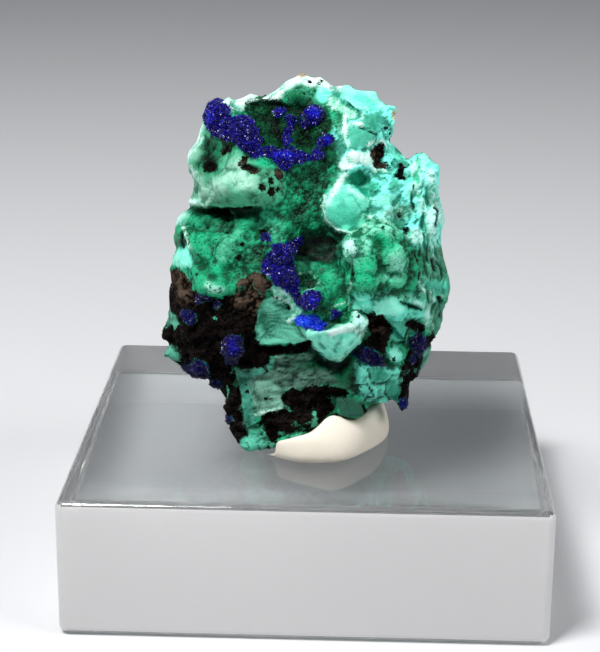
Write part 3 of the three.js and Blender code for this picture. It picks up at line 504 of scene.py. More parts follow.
            (0.33, 6.46, 0.34, 0.3), (-3.2, 0.8, 0.3, 0.25), (-0.05, -3.45, 0.62, 0.58),
            (1.47, -4.46, 0.38, 0.25, 30), (-8.56, -4.5, 0.5, 0.45), (-7.5, -3.3, 0.6, 0.3),
            (-6.6, -3.7, 0.35, 0.3), (-6.7, -9.2, 0.35, 0.3), (-5.67, -11.6, 0.25, 0.3),
            (7.18, -6.5, 0.45, 0.75, -15), (6.7, -7.5, 0.3, 0.3), (6.23, -10.5, 0.25, 0.3)],
        "strokes": [([(-1.5, 8.7), (-1.75, 7.8), (-1.8, 7.1)], 0.27)],
        "dark": "020117", "light": "0C0873", "fineDomes": 0.1, "domes": 0.14, "rough": 0.05,
        "edge": 0.08,
    },
    "brightAzurite": {
        "outlines": [[(-1.25, -4.6), (-0.4, -4.5), (0, -4.35), (0.5, -4.7), (0.9, -5.1),
            (0.45, -5.6), (-0.6, -5.3), (-1.2, -5.1)]],
        "dark": "091DA8", "light": "1057DD", "fineDomes": 0.1, "rough": 0.04, "edge": 0.08,
    },
}

# What covers the sides and the back, where the minerals repeat in patches of their own: each has its
# patch size, how much of the surface it takes and its place in the noise
backPatches = {
    "mintRight": (5.5, 0.05, 3), "darkMiddle": (3.4, 0.18, 11), "turquoiseBand": (4.4, 0.22, 23),
    "layeredFace": (5, 0.5, 37), "goethite": (5, 0.16, 51), "azurite": (2.6, 0.46, 67),
}

# The front's own pattern ends where the surface turns away from the viewer or lies far back. Finer
# patches and chips are a share of the size and the height of the main ones. Wander is cells, places
# in the noise and heights; crests are rounds of averaging, full heights and shares of the tone, which
# is lighter on crests and darker in hollows, partly the minerals' own pale crests and partly painted
# shade
rockValues = {
    "bodyVoxel": 0.22, "bodySmoothing": 8, "voxel": 0.146, "smoothing": 2,
    "dark": "03452C", "light": "22A578",
    "domeSize": 1.15, "fineDomeSize": 0.42, "roughSize": 1.1, "chipSize": 1.3, "knobSize": 2.3,
    "knobHeight": 0.16, "relief": {"domes": 0.16, "fineDomes": 0.07, "rough": 0.14, "chips": 0.1},
    "smallChips": (0.45, 0.5), "smallPatches": (0.3, 0.5), "patchSteepness": 2.5,
    "frontFacing": (-0.12, 0.08), "frontDepth": (3.0, 4.5), "azuriteFreeBack": (-0.7, -0.4),
    "wander": [(0.7, 0.0, 0.2), (0.28, 5.0, 0.12)], "crests": [(3, 0.02, 0.3), (30, 0.12, 0.35)],
    "midTone": 0.5, "grainTones": (0.13, 0.95), "grainsFrom": 0.5, "aboveBlock": 0.02,
    "belowTop": 0.05,
}
# Zones that the material colours itself, with a ragged border, those that lie over the goethite,
# and those with and without malachite grains
ownColours = ("goethite", "goethiteSpots", "whiteMarksAndHighlights", "brownGoethite")
coveringZones = ("greenOnGoethite", "azurite", "brightAzurite")
grainyZones = ("darkMiddle", "brightGreen", "rightKnobs", "paleRidge", "topGreen", "brightEmerald",
               "shadeAndDarkGreen", "paleKnobs")
smoothZones = ("sagePillow", "disc", "velvet", "azurite", "brightAzurite", "goethite", "goethiteSpots",
               "whiteMarksAndHighlights", "layeredFace", "lens", "satinFan", "aqua", "turquoise", "satinCream",
               "tealColumn", "paleMintAndHighlights")


# A mesh as a bmesh, in millimetres if it is in metres
def asBmesh(mesh, scale=1 / mm):
    bm = bmesh.new()
    bm.from_mesh(mesh)
    bmesh.ops.scale(bm, vec=(scale, scale, scale), verts=bm.verts)
    return bm


def written(bm, mesh):
    bm.to_mesh(mesh)
    bm.free()
    return mesh


def smoothed(bm, rounds):
    for _ in range(rounds):
        bmesh.ops.smooth_vert(bm, verts=bm.verts, factor=0.5, use_axis_x=True, use_axis_y=True,
                              use_axis_z=True)
    return bm


def meshObject(name, mesh, material, smooth=True):
    obj = bpy.data.objects.new(name, mesh)
    scene.collection.objects.link(obj)
    mesh.materials.append(material)
    mesh.polygons.foreach_set("use_smooth", [smooth] * len(mesh.polygons))
    return obj


# The mesh that an object shows with a modifier applied
def applied(obj):
    graph = bpy.context.evaluated_depsgraph_get()
    mesh = bpy.data.meshes.new_from_object(obj.evaluated_get(graph))
    obj.modifiers.clear()
    old, obj.data = obj.data, mesh
    bpy.data.meshes.remove(old)
    return mesh


def coordinates(mesh):
    values = np.empty(len(mesh.vertices) * 3)
    mesh.vertices.foreach_get("co", values)
    return values.reshape(-1, 3)


def vertexNormals(mesh):
    values = np.empty(len(mesh.vertices) * 3, np.float32)
    mesh.vertex_normals.foreach_get("vector", values)
    return values.reshape(-1, 3).astype(float)


def movePoints(mesh, points):
    mesh.vertices.foreach_set("co", points.ravel())
    mesh.update()


def addAttribute(mesh, name, kind, field, values):
    mesh.attributes.new(name, kind, "POINT").data.foreach_set(field, values.ravel())


# Adds a node with its settings and links: links name this node's inputs and the sockets they read
def addNode(tree, kind, links=None, **settings):
    node = tree.nodes.new(kind)
    inputs = settings.pop("inputs", {})
    for key, value in settings.items():
        setattr(node, key, value)
    for key, value in inputs.items():
        node.inputs[key].default_value = value
    for key, socket in (links or {}).items():
        tree.links.new(socket, node.inputs[key])
    return node


def newMaterial(name, shader):
    material = bpy.data.materials.new(name)
    material.use_nodes = True
    principled = material.node_tree.nodes["Principled BSDF"]
    for key, value in shader.items():
        principled.inputs[key].default_value = value
    return material, material.node_tree, principled


# A material whose colour follows the tone of each small copy along a ramp
def tonedMaterial(name, shader, stops):
    material, tree, principled = newMaterial(name, shader)
    tone = addNode(tree, "ShaderNodeAttribute", attribute_name="tone").outputs["Fac"]
    ramp = addNode(tree, "ShaderNodeValToRGB", {"Fac": tone})
    while len(ramp.color_ramp.elements) < len(stops):
        ramp.color_ramp.elements.new(0.5)
    for element, (position, code) in zip(ramp.color_ramp.elements, stops.items()):
        element.position, element.color = position, colour(code)
    tree.links.new(ramp.outputs["Color"], principled.inputs["Base Color"])
    return material


# Grown together: one skin over every lump that meets, smoothed a given number of times
def fused(obj, voxel, rounds):
    remesh = obj.modifiers.new("grownTogether", "REMESH")
    remesh.mode, remesh.voxel_size = "VOXEL", voxel
    mesh = applied(obj)
    return smoothed(asBmesh(mesh, 1), rounds), mesh


# The rock before its relief: the solid's surface with its lumps and plates, cut to the outline
def grownRock():
    given = rockValues
    bm = asBmesh(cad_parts["azurite_specimen"].data)
    bmesh.ops.remove_doubles(bm, verts=bm.verts, dist=weldDistance)
    mesh = written(bm, bpy.data.meshes.new("specimenRock"))
    obj = meshObject("specimenRock", mesh, rockMaterial())
    bm, mesh = fused(obj, given["bodyVoxel"], given["bodySmoothing"])
    addForms(bm)
    written(bm, mesh)
    written(*fused(obj, given["voxel"], 0))
    cutter = outlineSolid()
    cut = obj.modifiers.new("cutToOutline", "BOOLEAN")
    cut.operation, cut.solver, cut.object = "INTERSECT", "MANIFOLD", cutter
    applied(obj)
    bpy.data.meshes.remove(cutter.data)
    return obj, written(*fused(obj, given["voxel"], given["smoothing"]))


# The specimen's surface: relief and colours of each mineral
def buildRock():
    given = rockValues
    obj, mesh = grownRock()
    points, normals = coordinates(mesh), vertexNormals(mesh)
    u, v = heldIn(*seenAt(points))
    facing = normals @ -np.array(forward)
    front = np.maximum(smoothStep(facing, *given["frontFacing"]),
                       smoothStep(-points[:, 1], *given["frontDepth"]))
    chipSize, (smaller, lower) = given["chipSize"], given["smallChips"]
    fields = {
        "domes": domesAt(points, given["domeSize"]) - 0.5,
        "fineDomes": domesAt(points, given["fineDomeSize"]) - 0.5,
        "rough": roughAt(points, given["roughSize"]),
        "chips": facetsAt(points, chipSize) + lower * facetsAt(points, chipSize * smaller),
    }
    wander = sum(noiseAt(points, cell, place) * height for cell, place, height in given["wander"])
    dark, light = (np.tile(colour(given[key]), (len(points), 1)) for key in ("dark", "light"))
    heights = {kind: np.full(len(points), share) for kind, share in given["relief"].items()}
    cover, reach = {}, {}
    for name, zone in zones.items():
        inside = insideAny(u, v, zone) * front - (1 - front)
        if name in backPatches:
            size, share, place = backPatches[name]
            smaller, lower = given["smallPatches"]
            patch = noiseAt(points, size, place) + lower * noiseAt(points, size * smaller, place)
            patch = (patch - share) * given["patchSteepness"]
            if name == "azurite":
                patch -= 2 * smoothStep(facing, *given["azuriteFreeBack"])
            inside = np.where(front > 0.5, inside, patch)
        reach[name] = inside + wander * zone.get("wander", 1.0)
        cover[name] = smoothStep(reach[name], -zone["edge"], zone["edge"])
        blend = cover[name][:, None]
        if name not in ownColours:
            dark = dark * (1 - blend) + blend * colour(zone["dark"])
            light = light * (1 - blend) + blend * colour(zone["light"])
        for kind in () if "tint" in zone else heights:
            heights[kind] = heights[kind] * (1 - cover[name]) + cover[name] * zone.get(kind, 0.0)
    relief = sum(heights[kind] * fields[kind] for kind in heights)
    relief += given["knobHeight"] * (domesAt(points, given["knobSize"]) - 0.5)
    relief += extraRelief(points, u, v, cover)
    pushed = (throwback(u, v) - swellsAt(u, v)) * front
    points = trimmed(points + normals * relief[:, None] + np.outer(pushed, forward))
    blockTop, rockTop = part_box("display_block")[1].z / mm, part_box("azurite_specimen")[1].z / mm
    points[:, 2] = points[:, 2].clip(blockTop + given["aboveBlock"], rockTop - given["belowTop"])
    movePoints(mesh, points * mm)

    normals = vertexNormals(mesh)
    # Painted shade: the tone follows how far each point stands out, darker in hollows and lighter on
    # crests, partly the minerals' own pale crests
    crest = given["midTone"]
    for rounds, height, share in given["crests"]:
        crest = crest + share * np.clip(bulgeAt(mesh, points, normals, rounds) / height, -1, 1)
    overStone = np.max([reach[name] for name in coveringZones], axis=0)
    stoneReach = np.minimum(np.maximum(reach["goethite"], reach["goethiteSpots"]), -overStone)
    addAttribute(mesh, "darkColour", "FLOAT_COLOR", "color", dark)
    addAttribute(mesh, "lightColour", "FLOAT_COLOR", "color", light)
    for name, values in {"crest": crest, "stoneReach": np.clip(stoneReach, -1, 1),
                         "whiteReach": np.clip(reach["whiteMarksAndHighlights"], -1, 1),
                         "brown": cover["brownGoethite"]}.items():
        addAttribute(mesh, name, "FLOAT", "value", values)
    grainy = np.max([cover[name] for name in grainyZones], axis=0)
    smooth = np.max([cover[name] for name in smoothZones], axis=0)
    tone = crest.clip(0, 1)[:, None]
    shown = (dark * (1 - tone) + light * tone)[:, 1].clip(*given["grainTones"])
    marks = {"azurite": np.maximum(cover["azurite"], cover["brightAzurite"]),
             "velvet": cover["velvet"] * (1 - cover["azurite"]),
             "grains": np.where(grainy * (1 - smooth) > given["grainsFrom"], shown, 0.0)}
    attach(obj, "root")
    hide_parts("azurite_specimen")
    print("rock", len(mesh.vertices), "vertices", len(mesh.polygons), "faces")
    return obj, marks


# How far each point stands out of the surface around it, averaged outwards a number of times
def bulgeAt(mesh, points, normals, rounds):
    ends = np.empty(len(mesh.edges) * 2, int)
    mesh.edges.foreach_get("vertices", ends)
    a, b = ends.reshape(-1, 2).T
    count = np.bincount(np.concatenate([a, b]), minlength=len(points))[:, None]
    mean = points
    for _ in range(rounds):
        total = [np.bincount(a, mean[b, i], len(points)) + np.bincount(b, mean[a, i], len(points))
                 for i in range(3)]
        mean = np.stack(total, axis=1) / count
    return ((points - mean) * normals).sum(axis=1)


# Lines that follow the way a mineral grew, with their heights: the layered face's beds lie flat,
# the fan's fibres spread from a point to its left, and the edge lines stand upright
lineValues = {
    "middle": 0.4, "wave": (1.6, 9.0), "ledgeHeight": 0.05,
    "beds": [(0.5, 41.0, 2.0), (0.22, 43.0, 0.5)], "bedStretch": (0.35, 0.35, 1.0), "bedHeight": 0.05,
    "fanRoot": (-4.2, -4.6), "fibres": 40, "fibreWave": 3.0, "fibreHeight": 0.014,
    "fibreGaps": (0.7, 31.0), "gapEdge": (-0.5, 0.1),
    "edgeCell": (0.45, 17.0), "edgeStretch": (1.0, 1.0, 0.25), "edgeWave": 0.3, "edgeDepth": 2.5,
    "edgeHeight": 0.2, "mintEdge": (5.8, 6.8), "mintShare": 0.6,
}
# How far other zones stand out of the surface or sink into it
zoneHeights = {"whiteMarksAndHighlights": 0.05, "azurite": 0.1, "deepHollowShade": -0.08, "cracksAndShadowLines": -0.14,
               "plateJoints": -0.08}


def extraRelief(points, u, v, cover):
    given = lineValues
    wave, beds = noiseAt(points, *given["wave"]), given["middle"]
    for cell, place, depth in given["beds"]:
        beds = beds - depth * np.abs(noiseAt(points * np.array(given["bedStretch"]), cell, place))
    rootU, rootV = given["fanRoot"]
    fibres = np.sin(np.arctan2(v - rootV, u - rootU) * given["fibres"] + given["fibreWave"] * wave)
    fibres *= smoothStep(noiseAt(points, *given["fibreGaps"]), *given["gapEdge"])
    upright = points * np.array(given["edgeStretch"]) + wave[:, None] * given["edgeWave"]
    edgeLines = given["middle"] - np.abs(noiseAt(upright, *given["edgeCell"])) * given["edgeDepth"]
    mint = given["mintShare"] * cover["mintRight"] * smoothStep(u, *given["mintEdge"])
    edges = given["edgeHeight"] * np.maximum(cover["fibrousEdge"], mint)
    relief = given["bedHeight"] * beds * cover["layeredFace"] * (1 - cover["goethite"])
    relief += given["fibreHeight"] * fibres * cover["satinFan"]
    relief += (edges + given["ledgeHeight"] * cover["ledge"]) * edgeLines
    for name, height in zoneHeights.items():
        relief += height * cover[name]
    return relief


# Knobs and bubbles on the front: u, v, half width, half height and how proud each one stands
knobs = {
    "rightKnobs": [(3.4, -1.8, 1.1, 1.5, 0.25), (5.4, -0.4, 1, 0.9, 0.15),
        (4.7, 1, 0.9, 0.8, 0.15), (2.45, 0.05, 0.55, 1, 0.4), (4.6, -2.6, 0.7, 0.5, 0.2),
        (3.6, 0.6, 0.5, 0.5, 0.25), (5.9, 0.9, 0.6, 0.6, 0.25), (5.6, -1.9, 0.8, 0.8, 0.25)],
    "leftBubbles": [(-6.6, -2.2, 1.4, 1.1, 0.4), (-5.5, -1.6, 0.6, 0.5, 0.15),
        (-7.7, -1.5, 0.6, 0.5, 0.15), (-7.6, 1.7, 0.9, 0.7, 0.15), (-4.6, 1.7, 0.8, 0.7, 0.15),
        (-7.4, 0.2, 1, 0.8, 0.2), (-5.9, -0.5, 0.7, 0.6, 0.15), (-4, 0.3, 0.8, 0.7, 0.15),
        (-8.8, 1.2, 0.6, 0.6, 0.3)],
    "middleBubbles": [(-0.9, 2.3, 0.7, 0.7, 0.3), (0.1, 1.9, 0.6, 0.6, 0.3),
        (-1.8, 1.7, 0.5, 0.5, 0.25), (-1.2, 3.4, 0.6, 0.5, 0.25), (-0.3, 4.6, 0.6, 0.6, 0.25),
        (1.2, -2, 0.6, 0.6, 0.2), (0.6, -3.4, 0.5, 0.6, 0.2), (1.9, -3.6, 0.6, 0.5, 0.2)],
    "footLumps": [(-4.2, -13.3, 0.8, 0.6, 0.4), (-3.1, -13.2, 0.6, 0.5, 0.35),
        (-2.1, -13, 0.5, 0.5, 0.3), (-1.2, -12.8, 0.5, 0.4, 0.25)],
    "azuriteBalls": [(-0.05, 9.24, 0.6, 0.58, 0.6), (-0.5, 8.8, 0.35, 0.35, 0.3),
        (0.98, 7.54, 0.38, 0.36, 0.4), (-2.27, 9.43, 0.42, 0.26, 0.35),
        (-1.5, 8.9, 0.38, 0.38, 0.4), (0.33, 6.46, 0.3, 0.3, 0.3), (-0.05, -3.45, 0.58, 0.55, 0.5),
        (-5.53, -6.4, 0.65, 1, 0.5), (1.47, -4.46, 0.35, 0.24, 0.25), (-7.6, -8.1, 0.6, 0.5, 0.3),
        (0.55, 7.2, 0.28, 0.28, 0.25), (-6.2, 9.3, 0.8, 0.8, 0.35), (-4.9, 8.2, 0.8, 0.8, 0.35),
        (-4.1, 7.1, 0.5, 0.7, 0.3), (-2.4, -0.2, 0.7, 0.6, 0.3), (-2.6, -1.4, 0.7, 0.7, 0.3),
        (-0.6, -4.95, 0.6, 0.35, 0.3), (0.4, -4.95, 0.4, 0.35, 0.25)],
}

# Gentle swells and hollows: u, v, half width, half height, tilt and how far each stands out
swells = [
    (-8.3, 6.3, 0.5, 0.9, -25, 0.5), (-7.9, 7.8, 0.35, 0.9, -15, 0.35),
    (-7.2, 5.9, 0.8, 0.7, 0, -0.7), (-7.2, 7, 0.6, 0.9, -20, -0.4), (-6.6, 4.3, 1.7, 0.5, 30, 0.2),
    (-8, 4.7, 0.4, 0.8, 0, -0.2), (-8.2, 3.3, 0.45, 0.25, 0, 0.35), (-7, 3.5, 0.2, 0.6, -20, 0.12),
    (-7.6, 3.3, 0.2, 0.35, 0, -0.15), (-3.6, 5.9, 0.9, 0.5, 0, 0.35),
    (-5.3, 6.3, 0.8, 0.7, 0, 0.35), (-4.3, 5.65, 0.8, 0.25, -10, -0.35),
    (-4.8, 3.9, 1.3, 0.6, 0, 0.25), (-3.2, 3.7, 0.8, 0.6, 0, 0.2),
    (-3.45, 4.3, 0.35, 0.35, 0, -0.08), (-9.4, 1, 0.5, 0.55, 0, 0.35),
    (-8.98, 0.7, 0.1, 0.6, 10, -0.25), (-8.7, 2.2, 0.7, 0.5, 20, 0.3),
    (-9.2, -0.4, 0.7, 0.4, 30, 0.3), (-5.5, 1, 1.8, 0.45, 45, 0.25),
    (-7.4, -0.6, 0.6, 0.5, 0, 0.25), (-6.6, -1.3, 0.8, 0.4, 0, 0.3),
    (-6.9, -1.9, 0.4, 0.35, 0, -0.2), (-6.9, -2.6, 0.9, 0.45, 0, 0.4),
    (-6.4, 1.5, 1.3, 0.6, 0, -0.3), (-4, 0.2, 1.2, 1.2, 0, -0.3), (-5.3, -2.5, 0.5, 0.6, 0, 0.3),
    (-0.3, -2.1, 0.6, 0.6, 0, -0.12), (1.4, -2.4, 0.8, 0.8, 0, 0.2), (2.6, 0, 0.65, 1, 0, 0.45),
    (3.7, 0.1, 0.6, 0.6, 0, 0.25), (3.7, -1.8, 0.9, 1.2, 0, 0.4), (5.2, -0.2, 0.9, 0.8, 0, 0.25),
    (5, -2.2, 1.1, 0.5, 0, 0.3), (2.65, -1.6, 0.2, 0.7, 0, -0.4), (2.45, -3, 0.12, 1, 0, 0.15),
    (3.1, 5, 1, 0.5, 0, -0.4), (2.4, 2.9, 1.6, 1.7, 0, -0.3), (2.8, 5.6, 0.5, 0.3, 0, 0.2),
    (3.65, 2, 0.25, 0.3, 0, -0.15), (-1.1, 10.5, 0.7, 0.6, 0, 0.3), (1.4, 6.5, 0.5, 0.5, 0, 0.3),
    (-1, 2.3, 0.8, 0.8, 0, -0.3), (6.7, -3.85, 0.8, 0.2, -12, -0.4), (8.4, -2.5, 0.9, 0.5, 0, 0.3),
    (4.4, 6.7, 0.5, 0.8, 0, -0.2), (6, 5.3, 0.3, 0.6, 20, -0.15), (6.9, 3.7, 0.5, 0.35, 0, -0.2),
    (7.6, 1.2, 0.25, 1.2, 5, -0.12), (8.1, 1.5, 0.35, 1.4, 8, 0.3), (2.2, 8.6, 0.25, 0.8, 0, 0.2),
    (-3.3, -10.2, 0.9, 0.7, 0, -0.2),
]
swellReach = 1.4

# The specimen's outline as it is seen, clockwise from the upper left
outline = [
    (-6.7, 10.45), (-6.3, 10.15), (-5.8, 10.5), (-5.5, 10.25), (-4.9, 10.4), (-4.3, 10.72),
    (-3.85, 10.6), (-3.7, 10.3), (-2.6, 10.9), (-1.8, 11.6), (-1.2, 11.9), (-0.8, 12.4),
    (-0.55, 12), (0, 11.8), (0.5, 11.85), (1, 11.5), (1.5, 11.15), (1.9, 11.4), (2.4, 11.38),
    (2.9, 10.97), (4.3, 10.86), (4.45, 10.4), (5, 9.95), (5.6, 9.85), (5.75, 9.6), (5.6, 8.8),
    (5.5, 8), (5.1, 7.5), (5.5, 7.2), (6, 6.7), (6.45, 6.1), (7.1, 6.6), (7.7, 6.65), (8.1, 6.1),
    (8.72, 5.7), (8.65, 4.8), (8.6, 4), (8.8, 3), (9.05, 2), (8.8, 1.3), (8.75, 0.5), (8.95, -0.6),
    (9.3, -1.8), (9.42, -2.6), (9.2, -3.6), (8.87, -4.2), (8.9, -5.3), (8.5, -6), (8, -6.4),
    (8.25, -6.8), (7.9, -7.5), (7.4, -8.2), (7.1, -8.9), (6.6, -9.1), (6.55, -10.1), (6.4, -10.6),
    (6.1, -11.1), (5.75, -10.65), (5.4, -10.6), (4.6, -10.65), (3.95, -10.55), (3.7, -11.1),
    (3.2, -11.6), (2.4, -11.5), (1.5, -11.25), (0.85, -11.8), (0.6, -12.2), (0, -12.9),
    (-0.9, -13.2), (-1.9, -13.7), (-2.5, -13.75), (-3.3, -13.9), (-4.2, -14.1), (-5, -13.6),
    (-5.4, -12.9), (-5.9, -12), (-5.9, -11.3), (-6.2, -10.8), (-6, -10.2), (-6.5, -9.4),
    (-7, -9.3), (-7.2, -8.8), (-8.6, -8.6), (-9, -8), (-9.6, -7.6), (-10.25, -7.2), (-9.9, -6.7),
    (-9.9, -6.3), (-10.5, -6), (-10.1, -4.8), (-9.85, -4), (-9.9, -3), (-9.75, -1.8), (-9.9, -1),
    (-10, -0.6), (-9.3, 0.1), (-9.7, 0.6), (-9.75, 1.2), (-9.5, 2), (-8.9, 2.6), (-8.3, 2.95),
    (-8.6, 3.3), (-8.3, 3.8), (-8.1, 4.6), (-8.5, 5.3), (-8.85, 6.1), (-8.6, 6.7), (-8, 7.4),
    (-7.7, 8.4), (-7.4, 9.5), (-7.1, 10.1),
]


def swellsAt(u, v):
    total = np.zeros(len(u))
    for centreU, centreV, halfWidth, halfHeight, tilt, height in swells:
        along, across = alongAcross(u, v, centreU, centreV, swellReach * halfWidth,
                                    swellReach * halfHeight, tilt)
        total += height * np.clip(1 - along ** 2 - across ** 2, 0, 1) ** 2
    return total


# The nearest place inside the outline
def heldIn(u, v):
    out = np.where(insideBy(u, v, outline) < 0)[0]
    best, nearestU, nearestV = np.full(len(out), farAway), u[out], v[out]
    for start, end in zip(outline, outline[1:] + outline[:1]):
        away, nearU, nearV = nearestOn(u[out], v[out], start, end)
        closer = away < best
        best = np.where(closer, away, best)
        nearestU, nearestV = np.where(closer, nearU, nearestU), np.where(closer, nearV, nearestV)
    u, v = u.copy(), v.copy()
    u[out], v[out] = nearestU, nearestV
    return u, v


# Towards the back the outline is drawn in and averaged over neighbours, except at the foot
cutValues = {"near": -30, "back": 12, "neighbours": 5, "drawnIn": 0.88, "foot": (-10, -6)}


# A solid that holds everything that would show inside the outline, rounder towards the back
def outlineSolid():
    given = cutValues
    bm = bmesh.new()
    depth = (layoutOrigin - eyePoint).length
    sharp, reach = np.array(outline), given["neighbours"]
    rounded = sum(np.roll(sharp, i, axis=0) for i in range(-reach, reach + 1)) / (2 * reach + 1)
    rounded = rounded * given["drawnIn"]
    behind = sharp + (rounded - sharp) * smoothStep(sharp[:, 1], *given["foot"])[:, None]
    rings = [[bm.verts.new(eyePoint + sightLine(u, v) * (depth + away)) for u, v in loop]
             for loop, away in ((sharp, given["near"]), (sharp, 0), (behind, given["back"]))]
    bm.faces.new(rings[0])
    bm.faces.new(rings[-1][::-1])
    for near, far in zip(rings, rings[1:]):
        for i in range(len(near)):
            j = (i + 1) % len(near)
            bm.faces.new((near[i], far[i], far[j], near[j]))
    bmesh.ops.triangulate(bm, faces=bm.faces)
    bmesh.ops.recalc_face_normals(bm, faces=bm.faces)
    obj = bpy.data.objects.new("outlineSolid", written(bm, bpy.data.meshes.new("outlineSolid")))
    scene.collection.objects.link(obj)
    return obj


# Brings whatever would show outside the outline back to it
def trimmed(points):
    u, v = seenAt(points)
    heldU, heldV = heldIn(u, v)
    depth = (points - np.array(eyePoint)) @ np.array(forward) / layoutDepth
    return points + np.outer((heldU - u) * depth, right) + np.outer((heldV - v) * depth, up)


# Broken plates: corners in u and v, each with how proud it stands
plates = {
    "mintPlate": [(1.7, 11, 0.4), (3, 10.9, 0.6), (4.3, 10.6, 0.4), (4.8, 9.9, 0.5), (3, 9.5, 0.7),
        (2.1, 10.3, 0.7)],
    "ledge": [(-0.8, -5.6, 0.2), (0.8, -5.5, 0.9), (2.5, -5, 1), (3.8, -5.1, 0.5), (3.2, -6.1, 1),
        (2.5, -6.8, 1.1), (1.95, -7.6, 1), (0.9, -7.4, 0.9), (0.1, -6.8, 0.8), (-0.4, -6.1, 0.6)],
    "ledgeCorner": [(2.9, -4.2, 0.5), (3.7, -4.7, 0.5), (3.6, -5.5, 0.9), (2.6, -5.4, 1.2),
        (2.2, -5, 0.8)],
    "plateA": [(3, -7.8, 0.7), (4.3, -7.9, 0.4), (4.2, -9.3, 0.3), (3, -9.1, 0.7)],
    "plateB": [(4.4, -7.9, 0.2), (5.9, -8.2, 0.5), (5.8, -9.4, 0.7), (4.5, -9.2, 0.2)],
    "plateC": [(3.1, -9.3, 0.3), (4.4, -9.5, 0.6), (4.3, -10.3, 0.6), (3.5, -10.3, 0.3)],
    "plateD": [(4.6, -9.4, 0.5), (5.8, -9.6, 0.2), (5.6, -10.4, 0.4), (4.7, -10.4, 0.6)],
    "leftFlake": [(-9.9, -6.3, 0.4), (-9.2, -6.4, 0.5), (-9.1, -7.4, 0.4), (-9.8, -7.2, 0.4)],
    "leftPatch": [(-9.7, -4, 0.3), (-9.3, -4.2, 0.4), (-9.3, -5.3, 0.3), (-9.8, -5.2, 0.3)],
    "topFacet": [(3.3, 9.4, 0.25), (4.7, 9.4, 0.4), (4.8, 8.4, 0.35), (4.4, 7.9, 0.2),
        (3.1, 8.4, 0.3)],
    "middleFacet": [(2.4, 8.3, 0.2), (3.6, 8.3, 0.35), (4.5, 7.9, 0.4), (3.9, 7, 0.3),
        (2.35, 6.9, 0.2)],
    "turquoisePiece": [(5.1, -6.8, 0.6), (5.9, -6.9, 0.5), (6, -7.6, 0.4), (5.3, -7.8, 0.5)],
}

# Plates that carry the outline out or close the deepest hollows: the place whose depth they take,
# how far behind it they lie, and their corners
edgePlates = {
    "cavityFloor": ((0.4, 1.7), 0.7, [(-1.2, 0.9), (0.4, 1.3), (1.9, 1.2), (2.2, 0.2), (1.4, -1),
        (0.2, -1.3), (-1.1, -0.9)]),
    "recessFloor": ((5.4, -4.6), 0.7, [(3.2, -4.4), (5, -4.6), (5.3, -5.8), (4.8, -7.3),
        (3.4, -6.6)]),
    "topRightPlate": ((3.6, 9.6), 0.4, [(1.9, 11.3), (2.9, 10.95), (4.3, 10.85), (4.45, 10.4),
        (4.2, 9.5), (2.6, 9.6)]),
    "rightPlateEdge": ((4.6, 9), 0, [(4.3, 10.3), (5, 9.95), (5.7, 9.8), (5.6, 8.8), (5.4, 7.9),
        (4.8, 7.7), (4, 8.6)]),
    "rightShoulder": ((7.2, 5), 0, [(6.4, 5.9), (7.1, 6.6), (7.7, 6.65), (8.1, 6.1), (8.7, 5.7),
        (8.5, 4.4), (7, 4.2)]),
    "lensPlate": ((2.4, -10.2), 0, [(1.5, -10.2), (3, -10.1), (3.75, -10.7), (3.7, -11.2),
        (3.2, -11.6), (2.4, -11.5), (1.6, -11.3)]),
    "stalkTip": ((6.25, -9.3), 0, [(5.8, -9.8), (6.6, -9.4), (6.5, -10.3), (6.1, -11.1),
        (5.75, -10.7)]),
    "tanSpike": ((-0.7, 11.2), 1.2, [(-1.1, 11.8), (-0.75, 12.4), (-0.5, 11.9), (-0.8, 11.4)]),
    "topLobeA": ((-5.8, 9.9), 0, [(-6.3, 10.1), (-5.8, 10.5), (-5.5, 10.2), (-5.7, 9.6)]),
    "topLobeB": ((-4.5, 10.2), 0, [(-5.2, 10.1), (-4.3, 10.7), (-3.9, 10.5), (-3.95, 10.1),
        (-4.8, 9.8)]),
    "shellEdge": ((8.6, -2.6), 0, [(8.4, -1.6), (9.3, -1.8), (9.42, -2.6), (9.2, -3.6),
        (8.5, -3.8), (8, -2.6)]),
    "leftPoint": ((-9.7, -6), 0, [(-9.6, -5.6), (-10.5, -6), (-9.8, -6.4), (-9.2, -6.1)]),
    "leftFlakeEdge": ((-9.4, -7), 0, [(-9.7, -6.5), (-10.25, -7.2), (-9.4, -7.6), (-9.1, -7.1)]),
}

